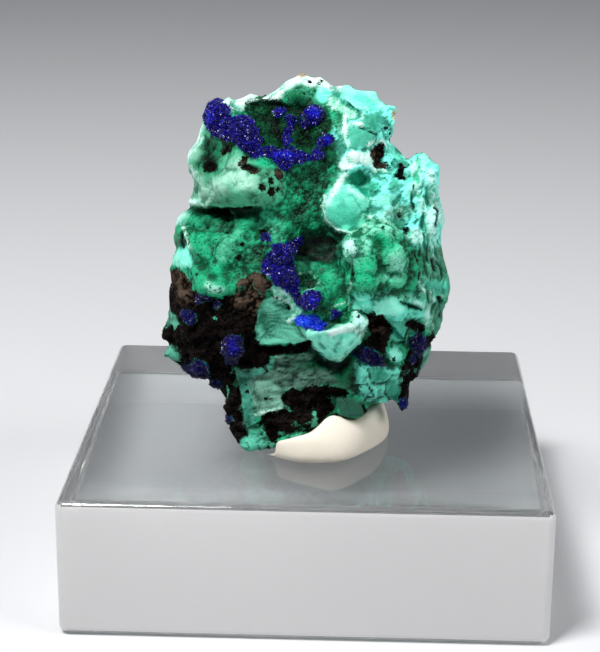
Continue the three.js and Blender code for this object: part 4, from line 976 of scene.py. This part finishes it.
# Strings of small lumps: the path, how many and their size
strings = {
    "leftGoethiteEdge": ([(-9.6, -1.6), (-9.9, -3), (-10.3, -5.6), (-9.9, -7), (-8.9, -8.3),
        (-7.1, -9.1), (-6.2, -10), (-5.9, -11.8), (-5.4, -13.2)], 34, 0.35),
    "goethiteFace": ([(-8.6, -3.6), (-6, -4.6), (-8.6, -6), (-6.2, -6.4), (-8, -7.6), (-5.6, -9),
        (-5.4, -11.5)], 30, 0.45),
    "stalk": ([(6.3, -8.6), (6.4, -9.6), (6.25, -10.6)], 9, 0.28),
    "footCrumbs": ([(-4.6, -13.2), (-3.2, -13.3), (-1.8, -13.2), (-0.4, -12.6), (0.6, -11.8)],
        16, 0.2),
    "rightColumn": ([(7, 6.3), (8.3, 5.6), (8.2, 3.6), (8.6, 2), (8.3, 0.4), (8.9, -1.8),
        (9, -3.4)], 34, 0.34),
    "rightRough": ([(6.6, 5.2), (7.4, 3.4), (6.9, 1.6), (7.6, 0.2), (8.2, -3.6), (8.2, -5)],
        24, 0.3),
    "topCrest": ([(-6.2, 10), (-4, 10.4), (-2, 11), (-0.8, 11.7), (0.6, 11.5), (1.6, 10.9)],
        26, 0.26),
    "topRight": ([(5.3, 9.6), (5.5, 8.8), (5.2, 7.8), (5.6, 7), (6.4, 6.2)], 16, 0.3),
    "cavityRim": ([(-0.9, 0.9), (0.2, 1.2), (1.7, 1), (2, 0.2), (1.4, -0.6), (0.2, -0.8),
        (-0.7, -0.5)], 16, 0.4),
    "recessRim": ([(3.4, -4.7), (4.4, -4.6), (5.2, -5.2), (5.2, -6.2), (4.4, -6.9), (3.6, -6.3)],
        12, 0.35),
}

# Lips that the rock drops back below: their line from left to right, how far and how soon it returns
lips = {
    "pillow": ([(-8.6, 3.1), (-7, 2.95), (-5.6, 2.8), (-4.3, 2.9), (-3.6, 3)], 0.9, 1),
    "crest": ([(-4.6, 10), (-3.4, 10.3), (-2.2, 10.15), (-1.4, 9.9)], 0.3, 0.7),
    "disc": ([(0.9, 1.9), (1.6, 1.3), (2.5, 1.1)], 0.35, 0.8),
    "ledge": ([(-0.5, -6.2), (0.3, -6.9), (1, -7.55), (1.9, -7.75), (2.7, -6.8), (3.4, -6.1)],
        0.7, 1.2),
    "fan": ([(-4, -6.45), (-2.5, -6.55), (-1.2, -6.5), (-0.5, -6.3)], 0.7, 0.9),
    "band": ([(2.8, -4.2), (3.9, -4.4), (5.2, -4.9), (6.4, -6.3), (7.5, -5.4)], 0.4, 0.8),
}
lipFades = {"ends": (0.2, 0.3), "drop": (-0.05, 0.1), "return": 0.15}


def throwback(u, v):
    drop = np.zeros(len(u))
    for line, depth, fade in lips.values():
        below = np.interp(u, [p[0] for p in line], [p[1] for p in line]) - v
        start, end, (outer, inner) = line[0][0], -line[-1][0], lipFades["ends"]
        within = smoothStep(u, start - outer, start + inner) * smoothStep(-u, end - outer, end + inner)
        back = 1 - smoothStep(below, lipFades["return"], fade)
        drop += depth * within * smoothStep(below, *lipFades["drop"]) * back
    return drop


# Lumps have an uneven surface, the small ones in a string stray from their path, and plates are
# this thick, with every second corner of an edge plate nearer the viewer
formValues = {"unevenness": 0.22, "unevenCell": 1.4, "straying": 0.3, "sizes": (0.6, 1.3),
              "widths": (0.7, 1.2), "proud": 0.55, "plateDepth": 1.2, "edgeDepth": 1.6,
              "edgeFronts": (0.2, -0.05)}


# Lumps and plates that are joined to the rock before its surface is made
def addForms(bm):
    given = formValues
    surface = BVHTree.FromBMesh(bm)
    rng = random.Random(5)

    def lump(u, v, halfWidth, halfHeight, proud):
        hit = surface.ray_cast(eyePoint, sightLine(u, v))[0]
        if hit is None:
            return
        depth = (halfWidth + halfHeight) / 2
        shape = Matrix.Diagonal((halfWidth, depth, halfHeight, 1))
        place = Matrix.Translation(hit + forward * (depth - proud))
        made = bmesh.ops.create_icosphere(bm, subdivisions=3, radius=1, matrix=place @ shape)
        for vert in made["verts"]:
            push = given["unevenness"] * noise.noise(vert.co * given["unevenCell"])
            vert.co += (vert.co - hit) * push

    for group in knobs.values():
        for knob in group:
            lump(*knob)
    for path, lumpCount, size in strings.values():
        for i in range(lumpCount):
            place = i / (lumpCount - 1) * (len(path) - 1)
            k = min(int(place), len(path) - 2)
            u, v = (path[k][axis] + (path[k + 1][axis] - path[k][axis]) * (place - k)
                    + rng.gauss(0, given["straying"]) for axis in range(2))
            radius = size * rng.uniform(*given["sizes"])
            halfWidth, halfHeight = (radius * rng.uniform(*given["widths"]) for _ in range(2))
            lump(u, v, halfWidth, halfHeight, radius * given["proud"])
    for corners in plates.values():
        made = []
        for u, v, proud in corners:
            hit = surface.ray_cast(eyePoint, sightLine(u, v))[0]
            if hit is not None:
                steps = (-proud, given["plateDepth"])
                made += [bm.verts.new(hit + forward * step) for step in steps]
        bmesh.ops.convex_hull(bm, input=made)
    for hang, behind, corners in edgePlates.values():
        hit = surface.ray_cast(eyePoint, sightLine(*hang))[0]
        depth = (hit - eyePoint).dot(forward) + behind
        made = []
        for i, (u, v) in enumerate(corners):
            line = sightLine(u, v)
            for step in (given["edgeFronts"][i % 2], given["edgeDepth"]):
                made.append(bm.verts.new(eyePoint + line * ((depth + step) / line.dot(forward))))
        bmesh.ops.convex_hull(bm, input=made)


# The rock's noises: sizes in millimetres, details and roughnesses
noiseValues = {"patches": (0.9, 5, 0.65), "grains": (0.16, 3, 0.6), "fine": (0.07, 2, 0.6)}
# How the rock's sockets are worked out, in order: ranges (socket, from, to), sums and mixes
# (share, first, second)
rockSteps = {
    "patchTone": ("range", "patches", 0.32, 0.68, -0.32, 0.32),
    "grainTone": ("range", "grains", 0.25, 0.75, -0.28, 0.28),
    "bothTones": ("sum", "patchTone", "grainTone"),
    # The crest attribute adds painted shade: darker in hollows, lighter on crests
    "tone": ("sum", "bothTones", "crest"),
    "grainBorder": ("range", "grains", 0.2, 0.8, -0.14, 0.14),
    "fineBorder": ("range", "fine", 0.2, 0.8, -0.06, 0.06),
    "ragged": ("sum", "grainBorder", "fineBorder"),
    "whiteBorder": ("sum", "whiteReach", "ragged"),
    "whiteShare": ("range", "whiteBorder", -0.16, 0.1, 0, 1),
    "stoneBorder": ("sum", "stoneReach", "ragged"),
    "stoneShare": ("range", "stoneBorder", -0.03, 0.03, 0, 1),
    "malachite": ("mix", "tone", "darkColour", "lightColour"),
    "whiteMarksAndHighlights": ("zone", "tone"), "goethite": ("zone", "tone"), "brownGoethite": ("zone", "tone"),
    "stone": ("mix", "brown", "goethite", "brownGoethite"),
    "green": ("mix", "whiteShare", "malachite", "whiteMarksAndHighlights"),
    "Base Color": ("mix", "stoneShare", "green", "stone"),
    "Roughness": ("range", "grains", 0.3, 0.7, 0.35, 0.6),
    "Specular IOR Level": ("range", "stoneShare", 0, 1, 0.12, 0.03),
}
rangeInputs = ("From Min", "From Max", "To Min", "To Max")
# The noises that roughen its skin, with the strength and the depth of each
rockBumps = {"grains": (0.6, 0.1), "fine": (0.4, 0.04)}


def rockMaterial():
    # Malachite and chrysocolla: waxy and finely granular, pale on their crests and darker in their
    # hollows, partly painted shade; goethite: dull and almost black, with ragged borders
    material, tree, principled = newMaterial("copperMinerals", {"IOR": 1.6})
    names = ("crest", "stoneReach", "whiteReach", "brown", "darkColour", "lightColour")
    place = addNode(tree, "ShaderNodeTexCoord").outputs["Object"]
    sockets = {}
    for name in names:
        attribute = addNode(tree, "ShaderNodeAttribute", attribute_name=name)
        sockets[name] = attribute.outputs["Color" if "Colour" in name else "Fac"]
    for name, (size, detail, roughness) in noiseValues.items():
        sockets[name] = addNode(tree, "ShaderNodeTexNoise", {"Vector": place}, inputs={
            "Scale": 1 / (size * mm), "Detail": detail, "Roughness": roughness}).outputs["Fac"]
    for name, (kind, *parts) in rockSteps.items():
        read = [sockets[part] for part in parts if part in sockets]
        if kind == "range":
            node = addNode(tree, "ShaderNodeMapRange", {"Value": read[0]},
                           inputs=dict(zip(rangeInputs, parts[1:])))
        elif kind == "sum":
            node = addNode(tree, "ShaderNodeMath", dict(enumerate(read)), operation="ADD",
                           use_clamp=name == "tone")
        else:
            ends = {"A": "dark", "B": "light"} if kind == "zone" else {}
            node = addNode(tree, "ShaderNodeMix", dict(zip(("Factor", "A", "B"), read)),
                           data_type="RGBA", inputs={end: colour(zones[name][shade])
                                                     for end, shade in ends.items()})
        sockets[name] = node.outputs["Value" if kind == "sum" else "Result"]
        if name in principled.inputs:
            tree.links.new(sockets[name], principled.inputs[name])
    normal = {}
    for name, (strength, depth) in rockBumps.items():
        bump = addNode(tree, "ShaderNodeBump", {"Height": sockets[name], **normal},
                       inputs={"Strength": strength, "Distance": depth * mm})
        normal = {"Normal": bump.outputs["Normal"]}
    tree.links.new(normal["Normal"], principled.inputs["Normal"])
    return material


# Many small copies of a few shapes, joined in one mesh: each copy has a place, a facing, a size
# and a tone that its material reads
def scatter(name, shapes, places, facings, sizes, tones, material, seed):
    rng = np.random.default_rng(seed)
    count = len(places)
    normal = facings / np.linalg.norm(facings, axis=1)[:, None]
    helper = np.where(np.abs(normal[:, [2]]) < 0.9, [[0, 0, 1.0]], [[1.0, 0, 0]])
    side = np.cross(helper, normal)
    side /= np.linalg.norm(side, axis=1)[:, None]
    other = np.cross(normal, side)
    angle = rng.uniform(0, 2 * math.pi, count)
    c, s = np.cos(angle)[:, None], np.sin(angle)[:, None]
    side, other = side * c + other * s, other * c - side * s
    turns = np.stack([side, other, normal], axis=2) * sizes[:, None, :]
    points, loops, starts, toneValues = [], [], [], []
    offset = loopOffset = 0
    kinds = rng.integers(0, len(shapes), count)
    for kind, (base, faces) in enumerate(shapes):
        chosen = kinds == kind
        moved = np.einsum("nij,vj->nvi", turns[chosen], base) + places[chosen][:, None, :]
        points.append(moved.reshape(-1, 3))
        toneValues.append(np.repeat(tones[chosen], len(base)))
        corners, copies = np.concatenate(faces), np.arange(chosen.sum())[:, None]
        first = np.concatenate([[0], np.cumsum([len(face) for face in faces])[:-1]])
        loops.append((corners + offset + copies * len(base)).ravel())
        starts.append((first + loopOffset + copies * len(corners)).ravel())
        offset += len(copies) * len(base)
        loopOffset += len(copies) * len(corners)
    points, loops, starts = np.concatenate(points), np.concatenate(loops), np.concatenate(starts)
    mesh = bpy.data.meshes.new(name)
    mesh.vertices.add(len(points))
    mesh.vertices.foreach_set("co", (points * mm).ravel())
    mesh.loops.add(len(loops))
    mesh.loops.foreach_set("vertex_index", loops)
    mesh.polygons.add(len(starts))
    mesh.polygons.foreach_set("loop_start", starts)
    mesh.update(calc_edges=True)
    addAttribute(mesh, "tone", "FLOAT", "value", np.concatenate(toneValues))
    obj = meshObject(name, mesh, material, smooth=False)
    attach(obj, "root")
    print(name, count, "copies")
    return obj


# A small shape as its points and faces, from a bmesh
def smallShape(bm):
    bm.verts.ensure_lookup_table()
    bmesh.ops.recalc_face_normals(bm, faces=bm.faces)
    points = np.array([v.co[:] for v in bm.verts])
    faces = [np.array([v.index for v in f.verts]) for f in bm.faces]
    bm.free()
    return points, faces


# Random places on the rock where a mark is above its least value, so many to the square millimetre
def placesOn(rock, mark, perSquare, seed, least):
    rng = np.random.default_rng(seed)
    mesh = rock.data
    mesh.calc_loop_triangles()
    corners = np.empty(len(mesh.loop_triangles) * 3, int)
    mesh.loop_triangles.foreach_get("vertices", corners)
    corners = corners.reshape(-1, 3)
    points, normals = coordinates(mesh) / mm, vertexNormals(mesh)
    a, b, c = (points[corners[:, i]] for i in range(3))
    areas = np.linalg.norm(np.cross(b - a, c - a), axis=1) / 2 * (mark[corners].mean(axis=1) > least)
    count = int(areas.sum() * perSquare)
    chosen = rng.choice(len(corners), count, p=areas / areas.sum())
    shares = rng.dirichlet((1, 1, 1), count)
    places, facings = (np.einsum("ni,nij->nj", shares, values[corners[chosen]])
                       for values in (points, normals))
    return places, facings, mark[corners[chosen]].mean(axis=1)


# Shapes are each crystal's sheer and taper at its top, which also narrows and slants. Lit says where
# the crystals' tones are raised as painted light and shaded where they are lowered as painted shade, in
# the tones of the ramp; glints are single crystals painted at its lightest tone as painted highlights
azuriteValues = {
    "perSquare": 190, "least": 0.6, "length": 0.18, "width": 0.1, "spread": 0.5, "keptBehind": 0.4,
    "glints": 0.014, "shadedGlints": 0.8, "flatness": 0.7, "scales": (0.55, 1.25),
    "narrowing": 0.75, "slant": 0.5, "shapes": [(0.12, 0.5), (-0.05, 0.35), (0.2, 0.65)],
    "tones": (0.05, 0.72), "litEdge": (0, 0.3), "litGain": 0.4, "shadeEdge": (-0.2, 0.3),
    "shadeLoss": 0.25, "brightEdge": 0.1, "brightGain": 10, "deepMost": 0.84, "most": 0.92,
    "ramp": {0: "01011A", 0.45: "0A0672", 0.72: "160EB4", 0.82: "1212D2", 0.92: "0C48E8",
        1: "A8A0FF"},
    "lit": {"ovals": [(-2.3, 9.5, 0.5, 0.25), (0, 9.35, 0.6, 0.45), (0.98, 7.6, 0.35, 0.3),
        (0.4, 6.5, 0.3, 0.2), (-7, 9.2, 0.3, 1, -10), (-5.5, -6.6, 0.5, 0.8),
        (-0.05, -3.4, 0.5, 0.4), (-2, 6.5, 1.2, 0.4)]},
    "shaded": {"outlines": [[(-11, -2.8), (-4, -2.8), (-4, -14), (-11, -14)], [(2.4, -6),
        (9.5, -5), (9.5, -11.5), (2.4, -8.4)]]},
}


# Azurite crystals: short slanting blocks with wedge-shaped ends, crowded side by side
def buildAzurite(rock, marks):
    given = azuriteValues
    shapes = []
    for sheer, taper in given["shapes"]:
        bm = bmesh.new()
        bmesh.ops.create_cube(bm, size=1)
        top = [v for v in bm.verts if v.co.z > 0]
        bmesh.ops.scale(bm, vec=(taper, given["narrowing"], 1), verts=top)
        for vert in top:
            vert.co.x += sheer
            vert.co.z += vert.co.x * given["slant"]
        shapes.append(smallShape(bm))
    rng = np.random.default_rng(11)
    places, facings, _ = placesOn(rock, marks["azurite"], given["perSquare"], 12, given["least"])
    front = facings @ -np.array(forward) > 0
    kept = front | (rng.random(len(places)) < given["keptBehind"])
    places, facings = places[kept], facings[kept]
    count = len(places)
    facings = facings + rng.normal(0, given["spread"], (count, 3))
    scale = rng.uniform(*given["scales"], count)
    sides = (given["width"], given["width"] * given["flatness"], given["length"])
    sizes = np.stack([side * scale for side in sides], axis=1)
    tones = rng.uniform(*given["tones"], count)
    u, v = seenAt(places)
    shaded = smoothStep(insideAny(u, v, given["shaded"]), *given["shadeEdge"])
    lit = smoothStep(insideAny(u, v, given["lit"]), *given["litEdge"])
    tones += given["litGain"] * lit - given["shadeLoss"] * shaded
    bright = insideAny(u, v, zones["brightAzurite"]).clip(0, given["brightEdge"])
    tones = np.clip(tones, 0, given["deepMost"]) + bright * given["brightGain"]
    # Painted highlights: a few crystals, fewer in the painted shade, take the ramp's lightest tone
    glinting = rng.random(count) < given["glints"] * (1 - given["shadedGlints"] * shaded)
    tones = np.where(glinting, 1.0, np.clip(tones, 0, given["most"]))
    # Azurite: glassy faces over a deep blue that looks almost black where it is thick
    shader = {"IOR": 1.77, "Roughness": 0.3, "Specular IOR Level": 0.3}
    material = tonedMaterial("azuriteCrystals", shader, given["ramp"])
    return scatter("azuriteCrystals", shapes, places, facings, sizes, tones, material, 13)


velvetValues = {
    "perSquare": 420, "least": 0.35, "width": 0.055, "length": 0.26, "spread": 0.35,
    "scales": (0.6, 1.3), "tone": 0.35, "tonePatches": (0.9, 3.0), "patchHeight": 0.9, "toneSpread": 0.25,
    "contrast": 1.5,
    "ramp": {0: "010C07", 1: "1E8C5C"},
}


# Malachite velvet: upright needles, packed side by side in patches of light and dark
def buildVelvet(rock, marks):
    given = velvetValues
    bm = bmesh.new()
    bmesh.ops.create_cone(bm, cap_ends=True, segments=3, radius1=0.5, radius2=0.0, depth=1.0)
    bmesh.ops.remove_doubles(bm, verts=bm.verts, dist=0.001)
    rng = np.random.default_rng(21)
    places, facings, _ = placesOn(rock, marks["velvet"], given["perSquare"], 22, given["least"])
    count = len(places)
    facings = facings + rng.normal(0, given["spread"], (count, 3))
    scale = rng.uniform(*given["scales"], count)
    sides = (given["width"], given["width"], given["length"])
    sizes = np.stack([side * scale for side in sides], axis=1)
    # Malachite needles: soft and dull, almost black between their tips
    shader = {"IOR": 1.7, "Roughness": 0.6, "Specular IOR Level": 0.12}
    material = tonedMaterial("malachiteVelvet", shader, given["ramp"])
    patches = given["patchHeight"] * noiseAt(places, *given["tonePatches"])
    tones = given["tone"] + patches + rng.normal(0, given["toneSpread"], count)
    tones = np.clip(tones, 0, 1) ** given["contrast"]
    return scatter("malachiteVelvet", [smallShape(bm)], places, facings, sizes, tones, material, 23)


grainValues = {"perSquare": 34, "least": 0.12, "widths": (0.07, 0.17), "flatness": 0.8,
               "tones": (0.6, 1.05), "ramp": {0: "012A1C", 0.11: "065C3E", 0.32: "1A9A6C",
                                              0.72: "7ADDB6", 1: "D0FFEC"}}


# Malachite in tiny round grains over its green parts
def buildGrains(rock, marks):
    given = grainValues
    bm = bmesh.new()
    bmesh.ops.create_icosphere(bm, subdivisions=1, radius=0.5)
    rng = np.random.default_rng(31)
    places, facings, values = placesOn(rock, marks["grains"], given["perSquare"], 32, given["least"])
    width = rng.uniform(*given["widths"], len(places))
    sizes = np.stack([width, width, width * given["flatness"]], axis=1)
    # Malachite grains: waxy, each one as light as the rock below it, painted shade of its hollows
    # included
    shader = {"IOR": 1.6, "Roughness": 0.5, "Specular IOR Level": 0.15}
    material = tonedMaterial("malachiteGrains", shader, given["ramp"])
    tones = np.clip(values * rng.uniform(*given["tones"], len(places)), 0, 1)
    return scatter("malachiteGrains", [smallShape(bm)], places, facings, sizes, tones, material, 33)


# The rim is the specimen's lower edge, below which the putty shows. In front of rimDepth the putty
# is pressed down to rimGap above it
puttyValues = {
    "rim": [(-5, -13.6), (-4.2, -13.6), (-3.3, -13.5), (-2.5, -13.4), (-1.9, -13.4), (-0.9, -13.1),
        (0, -12.9), (0.6, -12.2), (0.85, -11.8), (1.5, -11.25), (2.4, -11.4), (3.2, -11.5),
        (3.7, -11.1), (3.95, -10.55), (6, -10.4)],
    "rimDepth": (1, 3), "rimGap": 0.35, "voxel": 0.16, "smoothing": 12, "pressedMost": 3,
    "pressedSmoothing": 25, "cream": "F0E6D6", "speck": "85705A", "speckSpacing": 2.6,
    "speckEdge": (0.03, 0.06, 0.7, 0),
}


def buildPutty():
    given = puttyValues
    bm = asBmesh(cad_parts["putty"].data)
    bmesh.ops.remove_doubles(bm, verts=bm.verts, dist=weldDistance)
    mesh = written(bm, bpy.data.meshes.new("puttyBlob"))
    # Mineral tack: a soft satin cream that lets a little light in, with a few dark specks
    cream, speck = colour(given["cream"]), colour(given["speck"])
    material, tree, principled = newMaterial("puttyTack", {
        "Roughness": 0.5, "Subsurface Weight": 0.15, "Subsurface Scale": 1.0,
        "Subsurface Radius": (0.0012, 0.0009, 0.0006)})
    place = addNode(tree, "ShaderNodeTexCoord").outputs["Object"]
    specks = addNode(tree, "ShaderNodeTexVoronoi", {"Vector": place},
                     inputs={"Scale": 1 / (given["speckSpacing"] * mm)})
    share = addNode(tree, "ShaderNodeMapRange", {"Value": specks.outputs["Distance"]},
                    inputs=dict(zip(rangeInputs, given["speckEdge"])))
    speckled = addNode(tree, "ShaderNodeMix", {"Factor": share.outputs[0]}, data_type="RGBA",
                       inputs={"A": cream, "B": speck})
    tree.links.new(speckled.outputs["Result"], principled.inputs["Base Color"])
    obj = meshObject("puttyBlob", mesh, material)
    mesh = written(*fused(obj, given["voxel"], given["smoothing"]))
    points = coordinates(mesh)
    u, v = seenAt(points)
    rimU, rimV = zip(*given["rim"])
    over = np.clip(v - np.interp(u, rimU, rimV) - given["rimGap"], 0, given["pressedMost"])
    points[:, 2] -= over * smoothStep(-points[:, 1], *given["rimDepth"])
    movePoints(mesh, points)
    written(smoothed(asBmesh(mesh, 1), given["pressedSmoothing"]), mesh)
    points = coordinates(mesh)
    low, high = (np.array(corner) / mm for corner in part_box("putty"))
    least, most = points.min(axis=0), points.max(axis=0)
    points[:, :2] = (low + (points - least) / (most - least) * (high - low))[:, :2]
    movePoints(mesh, np.clip(points, low, high) * mm)
    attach(obj, "root")
    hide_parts("putty")
    print("putty", len(mesh.polygons), "faces")
    return obj


blockValues = {"edgeRadius": 0.6, "edgeSteps": 6, "sideFacing": 0.6, "ior": 1.49, "clear": "FBFDFD",
               "milky": "FCFAFA", "sideRoughness": 0.4, "sideTransmission": 0.55}


def buildBlock():
    given = blockValues
    low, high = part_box("display_block")
    bm = bmesh.new()
    bmesh.ops.create_cube(bm, size=1)
    bmesh.ops.scale(bm, vec=high - low, verts=bm.verts)
    bmesh.ops.translate(bm, vec=(low + high) / 2, verts=bm.verts)
    bmesh.ops.bevel(bm, geom=bm.edges, offset=given["edgeRadius"] * mm,
                    segments=given["edgeSteps"], profile=0.5, affect="EDGES", material=-1)
    mesh = written(bm, bpy.data.meshes.new("acrylicBlock"))
    # Cast acrylic: clear, with polished faces
    material = newMaterial("castAcrylic", {
        "Base Color": colour(given["clear"]), "IOR": given["ior"], "Roughness": 0.02,
        "Transmission Weight": 1.0})[0]
    # Its sawn sides and edges were only rubbed smooth, so they look milky
    sawn = newMaterial("castAcrylicSawn", {
        "Base Color": colour(given["milky"]), "IOR": given["ior"],
        "Roughness": given["sideRoughness"],
        "Transmission Weight": given["sideTransmission"]})[0]
    obj = meshObject("acrylicBlock", mesh, material)
    mesh.materials.append(sawn)
    for face in mesh.polygons:
        face.material_index = int(abs(face.normal.z) < given["sideFacing"])
    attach(obj, "root")
    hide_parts("display_block")
    print("block", len(mesh.polygons), "faces")
    return obj


# Lamps, in metres and watts: place, size and power
stageValues = {
    "floorSize": 2.0, "floorDrop": 0.05, "floor": "DCDDDF", "sky": "D8DCE2", "skyStrength": 0.2,
    "lamps": {"keyLight": ((-0.09, -0.10, 0.26), 0.09, 0.95),
              "fillLight": ((0.22, -0.10, 0.16), 0.14, 0.3)},
    "lampTarget": (0, 0, 0.02),
}


# A pale floor and soft studio light
def buildStage():
    given = stageValues
    bm = bmesh.new()
    bmesh.ops.create_grid(bm, x_segments=1, y_segments=1, size=given["floorSize"])
    bmesh.ops.translate(bm, vec=(0, 0, -given["floorDrop"] * mm), verts=bm.verts)
    mesh = written(bm, bpy.data.meshes.new("paleFloor"))
    # Matt pale card
    material = newMaterial("paleFloor", {"Base Color": colour(given["floor"]), "Roughness": 0.7})[0]
    meshObject("paleFloor", mesh, material)
    world = bpy.data.worlds.new("softStudio")
    scene.world = world
    world.use_nodes = True
    background = world.node_tree.nodes["Background"].inputs
    background["Color"].default_value = colour(given["sky"])
    background["Strength"].default_value = given["skyStrength"]
    scene.view_settings.view_transform = "Standard"
    for name, (place, size, power) in given["lamps"].items():
        lamp = bpy.data.lights.new(name, "AREA")
        lamp.size, lamp.energy = size, power
        obj = bpy.data.objects.new(name, lamp)
        obj.location = place
        towards = Vector(given["lampTarget"]) - Vector(place)
        obj.rotation_euler = towards.to_track_quat("-Z", "Y").to_euler()
        scene.collection.objects.link(obj)


def buildCamera():
    camera = bpy.data.cameras.new("viewer")
    camera.sensor_width = sensorWidth
    camera.lens = eye["focalPixels"] * sensorWidth / frameHeight
    camera.clip_start = 0.01
    obj = bpy.data.objects.new("viewer", camera)
    turned = Matrix((right, up, -forward)).transposed().to_4x4()
    obj.matrix_world = Matrix.Translation(eyePoint * mm) @ turned
    scene.collection.objects.link(obj)
    scene.camera = obj


buildCamera()
buildStage()
rock, marks = buildRock()
buildAzurite(rock, marks)
buildVelvet(rock, marks)
buildGrains(rock, marks)
buildPutty()
buildBlock()
